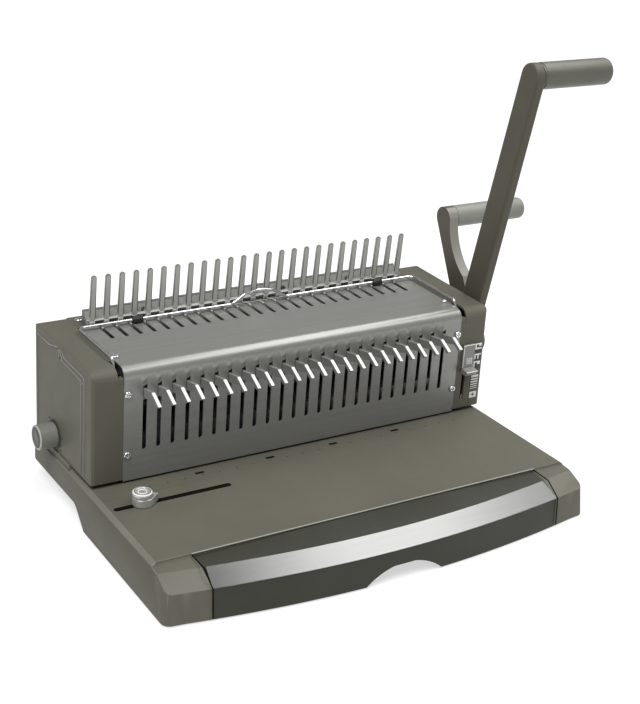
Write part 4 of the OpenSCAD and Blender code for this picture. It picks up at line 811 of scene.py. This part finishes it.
def tray_details():
    """The fields and dots along the cover, the outline near the guide, the painted shade in the slot and the
    painted highlight along the front edge.
    """
    fields = [lying(x - FIELD_HALF, FIELD_Y[0], x + FIELD_HALF, FIELD_Y[1]) for x in FIELDS_AT]
    plates("tray_marks", "base_shell", HOLLOW, fields, 0.05)
    dots = bmesh.new()
    for k in range(-9, 11):
        add_lathe(dots, [(-MARK_DEEP, 0), (-MARK_DEEP, DOT_R), (MARK_HIGH, DOT_R), (MARK_HIGH, 0)],
                  (DOT_STEP * k - 3, DOT_Y, 0), (0, 0, 1), 12)
    place("tray_dots", dots, "base_shell", paint=MARK_DARK)
    plates("tray_outline", "base_shell", MARK_SOFT, [lying(*line, 0.04) for line in OUTLINE], 0.02)
    # Painted shade: a near-black block fills the guide's slot up to just above the tray's surface.
    slot = arc(SLOT_ENDS[0], SLOT_Y, SLOT_R, -90, 90, 12) + arc(SLOT_ENDS[1], SLOT_Y, SLOT_R, 90, 270, 12)
    place("slot_painted_shade", prism(slot, -SLOT_DEEP, MARK_HIGH, "Z"), "base_shell", paint=HOLLOW)
    # Painted highlight: a pale strip along the tray's front edge, which also covers the shaded step there.
    plates("tray_front_edge_highlight", "base_shell", PALE_LINE,
           [((-TRAY_EDGE_HALF, TRAY_EDGE_Y[0], -0.8), (TRAY_EDGE_HALF, TRAY_EDGE_Y[1], MARK_HIGH))], 0.1)


tray_details()


# Foot of the cover, the sills in the caps' notches and the dark seams beside the drawer

FOOT_LOW, FOOT_HIGH = 2.4, 9.0
SILL_FROM, SILL_TO = COVER_HALF + 0.2, 190.8
SEAM_X, SEAM_R = DRAWER_HALF + 1.4, 0.55
SEAM_LINE = ((-133.2, -1.5), (-156.8, -2.1), (-172.9, -12.9), (-175.4, -40.5))

plates("cover_foot", "cover_sheet", MATERIALS[SLOT_OF["cover_sheet"]],
       [((-COVER_HALF, -0.02, FOOT_LOW), (COVER_HALF, 0.6, FOOT_HIGH))], 0.1)
for side, cap in zip(SIDES, ("left_end_cap", "right_end_cap")):
    plates("notch_sill", cap, MATERIALS["housing_plastic"],
           [((side * SILL_FROM, 0.4, 97.5), (side * SILL_TO, 6.5, 104.4))], 0.3)
    seam = add_tube(bmesh.new(), [(side * SEAM_X, *p) for p in SEAM_LINE], SEAM_R, 8)
    place("drawer_seam", seam, "base_shell", paint=HOLLOW)


# Front hooks: plates with a painted highlight along the front edge, drawn as (y, z) outlines

HOOK_T = 3.0
HOOK_EDGE_OUT = 0.05
HOOK_LINE = rounded_corners(
    [(6, 82.7), (6, 91.6), (-1.5, 91.2), (-15.2, 94.0), (-29.9, 86.0), (-26.6, 82.9), (-19.5, 87.4), (-7.2, 84.0),
     (-2.6, 82.7)],
    [0, 0, 0, 3.5, 1.2, 1.0, 4.0, 4.0, 0],
)
# Painted highlight: a pale strip over each hook's sloping front edge, a little wider than the plate.
HOOK_EDGE = [(-15.9, 93.9), (-29.9, 86.35), (-30.2, 86.0), (-30.0, 85.7), (-29.4, 85.7), (-15.5, 93.2)]

hooks = bmesh.new()
edges = bmesh.new()
for x in COMB:
    add_prism(hooks, HOOK_LINE, x - HOOK_T / 2, x + HOOK_T / 2)
    add_prism(edges, HOOK_EDGE, x - HOOK_T / 2 - HOOK_EDGE_OUT, x + HOOK_T / 2 + HOOK_EDGE_OUT)
stand_in("front_hook_plates", hooks, "front_hooks", 0.3, paint=HOOK_SIDE)
rounded(place("front_hook_highlights", edges, "front_hooks", paint=PALE_EDGE), 0.15, 1, 40)


# Comb fingers and their windowed strip, drawn upright and then leaned back about their root

FINGER_ROOT = Vector((0, 101.4, TOP))
FINGER_LEAN = math.radians(4.5)
FINGER_TURN = Matrix.Translation(FINGER_ROOT) @ Matrix.Rotation(FINGER_LEAN, 4, "X")
FINGERS = [(j - COUNT / 2) * PITCH for j in range(COUNT + 1)]
FINGER_T = 2.5
FINGER_TALL = 52.2
FINGER_HALF, FINGER_TIP_R = 3.05, 2.65
# A finger's half width, and the height above its root where it has it
FINGER_SIDE = ((3.9, 6.2), (3.25, 8.6), (FINGER_HALF, 11))
RIM_FOOT, RIM_WIDE, RIM_OUT = 9.5, 0.7, 0.04
STRIP_HALF = (COUNT - 1) / 2 * PITCH + 11.7
WINDOW_HALF, WINDOW_LOW, WINDOW_HIGH = 4.5, 1.0, 6.0
FRAME_WIDE, FRAME_OUT, FRAME_TOP = 0.6, 0.35, 6.7
# The strip's solid bands: half width, lower and upper edge
STRIP_BANDS = ((182, -18.4, -3.6), (171.7, -3.6, -WINDOW_LOW), (STRIP_HALF, -WINDOW_LOW, WINDOW_LOW),
               (STRIP_HALF, WINDOW_HIGH, 7.4))


def add_leaning(bm, outline, front=-FINGER_T / 2, back=FINGER_T / 2):
    """An outline in the plane of the fingers, as thick as they are unless it says otherwise."""
    add_prism(bm, outline, front, back, "Y")


def tip_line(x, half, r):
    """Up one side of a finger, over its tip and down the other side."""
    return [(x + half, RIM_FOOT)] + arc(x, FINGER_TALL - FINGER_TIP_R, r, 0, 180, 16) + [(x - half, RIM_FOOT)]


def comb_fingers():
    """The fingers, wider at their feet."""
    bm = bmesh.new()
    for x in FINGERS:
        right = [(x + half, up) for half, up in FINGER_SIDE]
        tip = arc(x, FINGER_TALL - FINGER_TIP_R, FINGER_TIP_R, 0, 180, 16)
        left = [(x - half, up) for half, up in FINGER_SIDE[::-1]]
        add_leaning(bm, right + tip + left)
    bm.transform(FINGER_TURN)
    stand_in("comb_fingers", bm, "finger_plate", 0.7, 3)


def finger_rims():
    """A darker line around the front of each finger."""
    bm = bmesh.new()
    for x in FINGERS:
        outer = tip_line(x, FINGER_HALF, FINGER_TIP_R - 0.03)
        inner = tip_line(x, FINGER_HALF - RIM_WIDE, FINGER_TIP_R - RIM_WIDE)
        for a, b, c, d in zip(outer, outer[1:], inner, inner[1:]):
            add_leaning(bm, [a, b, d, c], -FINGER_T / 2 - RIM_OUT, 0)
    bm.transform(FINGER_TURN)
    place("finger_rims", bm, "finger_plate", paint=EDGE_STEEL)


def finger_strip():
    """The strip that the fingers stand on: its foot in the housing, then a row of windows."""
    bm = bmesh.new()
    for half, low, high in STRIP_BANDS:
        add_leaning(bm, box_outline(-half, half, low, high))
    for x in FINGERS:
        half = PITCH / 2 - WINDOW_HALF
        left, right = max(-STRIP_HALF, x - half), min(STRIP_HALF, x + half)
        add_leaning(bm, box_outline(left, right, WINDOW_LOW, WINDOW_HIGH))
    bm.transform(FINGER_TURN)
    place("finger_strip", bm, "finger_plate")


def window_frames():
    """A pale frame around each window."""
    bm = bmesh.new()
    out = WINDOW_HALF + FRAME_WIDE
    for x in COMB:
        for left, right, low, high in (
            (-out, out, WINDOW_HIGH, FRAME_TOP), (-out, -WINDOW_HALF, WINDOW_LOW, WINDOW_HIGH),
            (WINDOW_HALF, out, WINDOW_LOW, WINDOW_HIGH), (-out, out, WINDOW_LOW - FRAME_WIDE, WINDOW_LOW),
        ):
            add_leaning(bm, box_outline(x + left, x + right, low, high), -FINGER_T / 2 - FRAME_OUT, 0)
    bm.transform(FINGER_TURN)
    rounded(place("window_frames", bm, "finger_plate", paint=PALE_EDGE), 0.12, 1, 40)


comb_fingers()
finger_rims()
finger_strip()
window_frames()


# Guard behind the fingers: a leaning sheet with a hem and two cheeks

GUARD_Y = deck_box("rear_guard")[0].y
GUARD_SLOPE = Vector((10, 13.3))
GUARD_RUN = GUARD_SLOPE.length
GUARD_UP = GUARD_SLOPE.normalized()
GUARD_T = 0.8
HEM_TALL, HEM_OVER, HEM_FRONT, HEM_BACK = 1.7, 0.2, 0.35, -1.0
SHADE_TALL, SHADE_SHORT = 5.2, 3
CHEEK_T, CHEEK_R = 1.2, 2.5
CHEEK_REAR = deck_box("rear_guard")[1].y - 0.1


def guard_spot(run, out):
    """A place (y, z) on the leaning guard: run goes up its front face, out stands off it to the front."""
    return (GUARD_Y + run * GUARD_UP.x - out * GUARD_UP.y, TOP + run * GUARD_UP.y + out * GUARD_UP.x)


def guard_strip(low, high, out, inner, half=STRIP_HALF):
    """A strip along the guard, between two heights on its face and two distances off it."""
    outline = [guard_spot(low, out), guard_spot(high, out), guard_spot(high, inner), guard_spot(low, inner)]
    return prism(outline, -half, half)


def rear_guard():
    """The sheet, its hem, the shadow line at its foot and its cheeks."""
    top = guard_spot(GUARD_RUN, 0)
    sheet = [guard_spot(0, 0), top, guard_spot(GUARD_RUN, -GUARD_T), guard_spot(0.6, -GUARD_T)]
    stand_in("guard_sheet", prism(sheet, -STRIP_HALF, STRIP_HALF), "rear_guard", 0.2, 1)
    hem = guard_strip(GUARD_RUN - HEM_TALL, GUARD_RUN + HEM_OVER, HEM_FRONT, HEM_BACK)
    rounded(place("guard_hem", hem, "rear_guard", paint=EDGE_STEEL), 0.3, 2, 40)
    shade = guard_strip(0, SHADE_TALL, 0.1, 0.02, STRIP_HALF - SHADE_SHORT)
    place("guard_foot_shade", shade, "rear_guard", paint=MARK_DARK)
    outline = [guard_spot(0, 0), top, guard_spot(GUARD_RUN, -CHEEK_T), (CHEEK_REAR, TOP)]
    cheek = rounded_corners(outline, [0, CHEEK_R, 0, 0])
    cheeks = bmesh.new()
    for side in SIDES:
        add_prism(cheeks, cheek, side * (STRIP_HALF - CHEEK_T), side * STRIP_HALF)
    rounded(place("guard_cheeks", cheeks, "rear_guard", paint=EDGE_STEEL), 0.3, 2, 40)


rear_guard()


# Screws on the cover's front and top, on the rear strip and on the guard. A head is given by its radius, its height
# and the depth of its recess; its round edge and its cross are shares of the radius.

HEAD_EDGE, RECESS_WING, RECESS_ARM = 0.32, 0.13, 0.62
COVER_SCREW = (3.6, 2.2, 1.1)
SCREW_X, SCREW_LEVELS, SCREW_TOP_Y = 181.3, (28.4, 88.1), 27.5
REAR_SCREW_X, REAR_SCREW_Y = 177.04, 118.8
GUARD_SCREW = (2.7, 1.4, 0.8)
GUARD_SCREW_SHARES = (-0.654, -0.218, 0.218, 0.654)
GUARD_SCREW_AT = (107.8, 120.05)


def screw_head(radius, high, recess):
    """A domed head with a cross recess, standing on z = 0."""
    edge = radius * HEAD_EDGE
    dome = [(high - edge + y, x) for x, y in arc(radius - edge, 0, edge, 18, 90, 4)]
    profile = [(0, 0), (0, radius), (high - edge, radius)] + dome + [(high + 0.01, 0)]
    head = lathe(profile, (0, 0, 0), (0, 0, 1), 40)
    wing, arm = radius * RECESS_WING, radius * RECESS_ARM
    cross = [(-arm, -wing), (-wing, -wing), (-wing, -arm), (wing, -arm), (wing, -wing), (arm, -wing), (arm, wing),
             (wing, wing), (wing, arm), (-wing, arm), (-wing, wing), (-arm, wing)]
    return carved(head, prism(cross, high - recess, high + 1, "Z"))


def facing(spot, direction):
    """The move that stands a head on a spot, facing a direction."""
    turn = Vector((0, 0, 1)).rotation_difference(Vector(direction)).to_matrix().to_4x4()
    return Matrix.Translation(spot) @ turn


def screw_heads(name, node, sizes, stands, width):
    """One kind of head on each of its stands, which are (spot, direction) pairs."""
    master = screw_head(*sizes)
    heads = [copied(master, facing(*stand)) for stand in stands]
    master.free()
    stand_in(name, joined(heads), node, width, 1)


front, up = (0, -1, 0), (0, 0, 1)
stands = []
for side in SIDES:
    stands += [((side * SCREW_X, 0, z), front) for z in SCREW_LEVELS]
    stands += [((side * SCREW_X, SCREW_TOP_Y, TOP), up), ((side * REAR_SCREW_X, REAR_SCREW_Y, TOP), up)]
screw_heads("cover_screw_heads", "cover_screws", COVER_SCREW, stands, 0.12)
off_guard = (0, -GUARD_UP.y, GUARD_UP.x)
screw_heads("guard_screw_heads", "guard_screws", GUARD_SCREW,
            [((part * STRIP_HALF, *GUARD_SCREW_AT), off_guard) for part in GUARD_SCREW_SHARES], 0.1)


# Levers: two arms about one axis, their grips and the axis's end cap. Spots on them are (y, z).

AXIS = middle_of("lever_cap").yz
LONG_END = middle_of("punch_grip").yz
SHORT_END = middle_of("bind_grip").yz
HUB_R, LONG_R, SHORT_R = 14.5, 13, 11.5
BITE_R, BITE_DEEP, BITE_AT, BITE_PAST = 66, 7, 0.744, 7
PALE_ABOVE = 17
GRIP_NECK, GRIP_END_R = 0.9, 4.2
END_CAP = [(0, 0), (0, 9), (1.8, 9), (2.4, 8.6), (2.8, 7.8), (2.8, 0)]


def arm_outline(a, ra, b, rb):
    """Two round ends joined by their outer tangents."""
    run = b - a
    turn = math.degrees(math.atan2(run.y, run.x))
    tangent = math.degrees(math.acos((ra - rb) / run.length))
    return arc(*a, ra, turn + tangent, turn + 360 - tangent, 48) + arc(*b, rb, turn - tangent, turn + tangent, 32)


def long_arm():
    """The punching lever's arm."""
    outline = arm_outline(AXIS, HUB_R, LONG_END, LONG_R)
    stand_in("long_arm", prism(outline, *across_machine("punch_arm")), "punch_arm", 2.6, 5, 30)


def short_arm():
    """The comb lever's arm, with a wide round bite out of its front edge, and a painted highlight on its front
    faces above the hub.
    """
    left, right = across_machine("bind_arm")
    blank = prism(arm_outline(AXIS, HUB_R, SHORT_END, SHORT_R), left, right)
    run = SHORT_END - AXIS
    forward = Vector((-run.y, run.x)).normalized()
    hollow = AXIS + BITE_AT * run + (BITE_R + SHORT_R - BITE_DEEP) * forward
    start, end = left - BITE_PAST, right + BITE_PAST
    bite = [(start, 0), (start, BITE_R), (end, BITE_R), (end, 0)]
    blank = carved(blank, lathe(bite, (0, *hollow), (1, 0, 0), 240))
    blank.normal_update()
    # Painted highlight: faces turned to the front, above the hub, take the paler paint.
    for face in blank.faces:
        above_hub = face.calc_center_median().z > AXIS.y + PALE_ABOVE
        face.material_index = int(face.normal.y < -0.25 and abs(face.normal.x) < 0.3 and above_hub)
    arm = stand_in("short_arm", blank, "bind_arm", 3.2, 5, 30)
    arm.data.materials.append(PAINTED_HIGHLIGHT)


def grip_profile(r, length):
    """A round grip with a narrower neck at the arm and a rounded end."""
    tip = [(length - GRIP_END_R + y, x) for x, y in arc(r - GRIP_END_R, 0, GRIP_END_R, 0, 90, 8)]
    neck = r - GRIP_NECK
    return [(0, 0), (0, neck), (1.6, neck), (1.8, r - 0.25), (2.2, r)] + tip + [(length, 0)]


def lever_grip(name, node, end, r):
    """The grip at the end of a lever."""
    left, right = across_machine(node)
    stand_in(name, lathe(grip_profile(r, right - left), (left, *end), (1, 0, 0), 72), node, 0.2, 1, 50)


long_arm()
short_arm()
lever_grip("long_grip", "punch_grip", LONG_END, LONG_R)
lever_grip("short_grip", "bind_grip", SHORT_END, SHORT_R)
cap = lathe(END_CAP, (deck_box("lever_cap")[0].x, *AXIS), (1, 0, 0), 72)
stand_in("lever_end_cap", cap, "lever_cap", 0.3, 2, 25)


# Wire bail with a hump in the middle, and its two rubber sleeves

BAIL_Y, BAIL_Z = middle_of("bail_sleeves").yz
BAIL_SIDE, BAIL_END = 188, 181.5
BAIL_FRONT = 20
PIVOT = (12, 104)
# Places along the rear bar and how far the hump lifts it there
HUMP = ((-27, 0), (-13, 8.6), (3, 11.4), (19, 8.6), (33, 0))
BAIL_BENDS = (1.6, 4, 8, 9, 14, 26, 14, 9, 8, 4, 1.6)
BAIL_R, SLEEVE_R, SLEEVE_HALF = 1.5, 3.6, 5
SLEEVES_AT = (-128.6, 142.9)


def bail_wire():
    """The wire from its left pivot over the hump to its right pivot, rounded at each corner."""
    arm = [(BAIL_END, *PIVOT), (BAIL_SIDE, *PIVOT), (BAIL_SIDE, BAIL_FRONT, BAIL_Z), (BAIL_SIDE, BAIL_Y, BAIL_Z)]
    corners = [(-x, y, z) for x, y, z in arm] + [(x, BAIL_Y, BAIL_Z + lift) for x, lift in HUMP] + arm[::-1]
    stand_in("bail_wire", add_tube(bmesh.new(), bent(corners, BAIL_BENDS), BAIL_R, 24), "bail_rod")


def bail_sleeves():
    """The sleeves, rounded at both ends."""
    half = [(SLEEVE_HALF, BAIL_R), (SLEEVE_HALF, 3.0), (4.7, 3.45), (4.2, SLEEVE_R)]
    profile = [(-along, r) for along, r in half] + half[::-1]
    bm = bmesh.new()
    for x in SLEEVES_AT:
        add_lathe(bm, profile, (x, BAIL_Y, BAIL_Z), (1, 0, 0), 40)
    stand_in("bail_rubber_sleeves", bm, "bail_sleeves")


bail_wire()
bail_sleeves()


# Margin knob on the left cap, with the gap and the dots around it

KNOB_SPOT = middle_of("margin_knob").yz
KNOB_AT = (deck_box("margin_knob")[1].x, *KNOB_SPOT)
KNOB_FOOT = (CAP_FACE + 0.4, *KNOB_SPOT)
OUTWARD = (-1, 0, 0)
KNOB = [(0, 0), (0, 11.6), (0.4, 12), (16.5, 12), (17.2, 11.8), (17.55, 11.3), (17.6, 10.6), (17.6, 10.0),
        (17.1, 9.7), (17.0, 0)]
KNOB_RIM = [(16.7, 12.02), (17.3, 11.84), (17.68, 11.2), (17.7, 10.4), (17.3, 10.3), (16.9, 11.4), (16.7, 12.02)]
KNOB_FACE = [(16.9, 0), (16.9, 9.75), (17.25, 9.75), (17.25, 0)]
KNOB_GAP = [(0.3, 12.5), (0.3, 14.3), (0.9, 14.3), (0.9, 12.5), (0.3, 12.5)]
DOTS_REACH, DOTS_HIGH = 17.5, 0.45
# Each dot's turn from the front, upwards, in degrees, and its radius
KNOB_DOTS = ((-62, 1.2), (-38, 1.3), (-16, 1.0), (8, 1.0), (138, 0.9))


def margin_knob():
    """The knob, its pale rim and its dark face."""
    stand_in("margin_knob_turned", lathe(KNOB, KNOB_AT, OUTWARD, 96), "margin_knob", 0.2, 2, 50)
    place("margin_knob_rim", lathe(KNOB_RIM, KNOB_AT, OUTWARD, 96), "margin_knob", paint=PALE_LINE)
    place("margin_knob_face", lathe(KNOB_FACE, KNOB_AT, OUTWARD, 96), "margin_knob", paint=EDGE_DARK)


def knob_surround():
    """The dark gap and the dots, on the cap."""
    place("knob_gap", lathe(KNOB_GAP, KNOB_FOOT, OUTWARD, 96), "left_end_cap", paint=MARK_DARK)
    bm = bmesh.new()
    for turn, size in KNOB_DOTS:
        a = math.radians(turn)
        y, z = KNOB_SPOT[0] - DOTS_REACH * math.cos(a), KNOB_SPOT[1] + DOTS_REACH * math.sin(a)
        add_lathe(bm, [(0, 0), (0, size), (DOTS_HIGH, size), (DOTS_HIGH, 0)], (KNOB_FOOT[0], y, z), OUTWARD, 14)
    place("knob_dots", bm, "left_end_cap", paint=MARK_DARK)


margin_knob()
knob_surround()


# Knob of the edge guide: a ribbed rim, two pale rings painted on as highlights, and the screw under it

GUIDE_AT = (*middle_of("guide_knob").xy, deck_box("edge_guide")[1].z + 0.1)
UPWARD = (0, 0, 1)
GUIDE_KNOB = [(0, 0), (0, 8.4), (0.5, 9.0), (3.7, 9.0), (4.4, 8.5), (5.0, 7.7), (5.0, 6.6), (4.5, 6.2), (4.3, 0)]
GUIDE_RIM = [(4.6, 7.0), (5.0, 7.2), (5.0, 8.2), (4.3, 8.9), (3.8, 9.05), (3.8, 8.7), (4.5, 7.6), (4.6, 7.0)]
GUIDE_BOSS = [(4.2, 3.4), (4.7, 3.6), (4.7, 4.4), (4.2, 4.6), (4.2, 3.4)]
GUIDE_SCREW = [(-15, 0), (-15, 2), (1, 2), (1, 0)]
RIBS, RIB_REACH, RIB_R = 48, 8.82, 0.28


def guide_knob():
    """The knob with its ribs, its two painted highlight rings and its screw."""
    bm = lathe(GUIDE_KNOB, GUIDE_AT, UPWARD, 96)
    for x, y in arc(GUIDE_AT[0], GUIDE_AT[1], RIB_REACH, 0, 360, RIBS)[:-1]:
        add_lathe(bm, [(0.7, 0), (0.7, RIB_R), (3.4, RIB_R), (3.4, 0)], (x, y, GUIDE_AT[2]), UPWARD, 8)
    stand_in("guide_knob_turned", bm, "guide_knob", 0.15, 2, 50)
    # Painted highlights: pale rings on the knob's rounded rim and on the boss on its top.
    place("guide_knob_rim_highlight", lathe(GUIDE_RIM, GUIDE_AT, UPWARD, 96), "guide_knob", paint=PALE_EDGE)
    place("guide_knob_boss_highlight", lathe(GUIDE_BOSS, GUIDE_AT, UPWARD), "guide_knob", paint=PALE_EDGE)
    place("guide_knob_screw", lathe(GUIDE_SCREW, GUIDE_AT, UPWARD, 32), "guide_knob")


guide_knob()


# Stage: white ground, soft daylight and one large lamp, in metres. The camera's place is in deck millimetres.

FLOOR_HALF = 60
FLOOR_LOOK = {"Base Color": (0.35, 0.35, 0.35, 1), "Roughness": 0.9, "Emission Color": (1, 1, 1, 1),
              "Emission Strength": 0.6}
SKY_STRENGTH = 0.32
MIDDLE = Vector((0, 0, 0.12))
SUN_FROM, SUN_STRENGTH, SUN_ANGLE = Vector((-0.38, -0.27, 0.88)), 3.1, math.radians(40)
BOX_FROM, BOX_FAR, BOX_WATTS, BOX_SIZE = Vector((0.5, -0.05, 0.87)), 1.7, 22, (1.8, 0.7)
SENSOR, LENS = 36, 76.46
CAMERA_AT, CAMERA_TURN = (-699.15, -1091.16, 647.96), (67.0351, -3.7836, -31.7097)


def ground():
    """A wide white floor that glows a little."""
    mesh = bpy.data.meshes.new("floor")
    mesh.from_pydata([(x, y, 0) for x, y in box_outline(-FLOOR_HALF, FLOOR_HALF, -FLOOR_HALF, FLOOR_HALF)], [],
                     [(0, 1, 2, 3)])
    mat = bpy.data.materials.new("floor_white")
    mat.use_nodes = True
    for name, value in FLOOR_LOOK.items():
        mat.node_tree.nodes["Principled BSDF"].inputs[name].default_value = value
    mesh.materials.append(mat)
    floor = bpy.data.objects.new("floor", mesh)
    bpy.context.collection.objects.link(floor)


def sky():
    """An even white sky."""
    world = bpy.data.worlds.new("studio")
    bpy.context.scene.world = world
    world.use_nodes = True
    background = world.node_tree.nodes["Background"]
    background.inputs["Color"].default_value = (1, 1, 1, 1)
    background.inputs["Strength"].default_value = SKY_STRENGTH


def lamp(data, spot, energy):
    """Hangs a lamp at a spot, turned to the middle of the machine."""
    data.energy = energy
    obj = bpy.data.objects.new(data.name, data)
    obj.location = spot
    obj.rotation_euler = (MIDDLE - spot).to_track_quat("-Z", "Y").to_euler()
    bpy.context.collection.objects.link(obj)


def photo_camera():
    """The camera that was worked out from the photo."""
    data = bpy.data.cameras.new("camera")
    data.sensor_width = SENSOR
    data.lens = LENS
    camera = bpy.data.objects.new("camera", data)
    camera.location = DECK @ Vector(CAMERA_AT)
    camera.rotation_euler = [math.radians(a) for a in CAMERA_TURN]
    bpy.context.collection.objects.link(camera)
    bpy.context.scene.camera = camera


ground()
sky()
daylight = bpy.data.lights.new("daylight", "SUN")
daylight.angle = SUN_ANGLE
lamp(daylight, MIDDLE + SUN_FROM, SUN_STRENGTH)
softbox = bpy.data.lights.new("softbox", "AREA")
softbox.shape = "RECTANGLE"
softbox.size, softbox.size_y = BOX_SIZE
lamp(softbox, MIDDLE + BOX_FAR * BOX_FROM, BOX_WATTS)
photo_camera()
bpy.context.scene.view_settings.view_transform = "Standard"
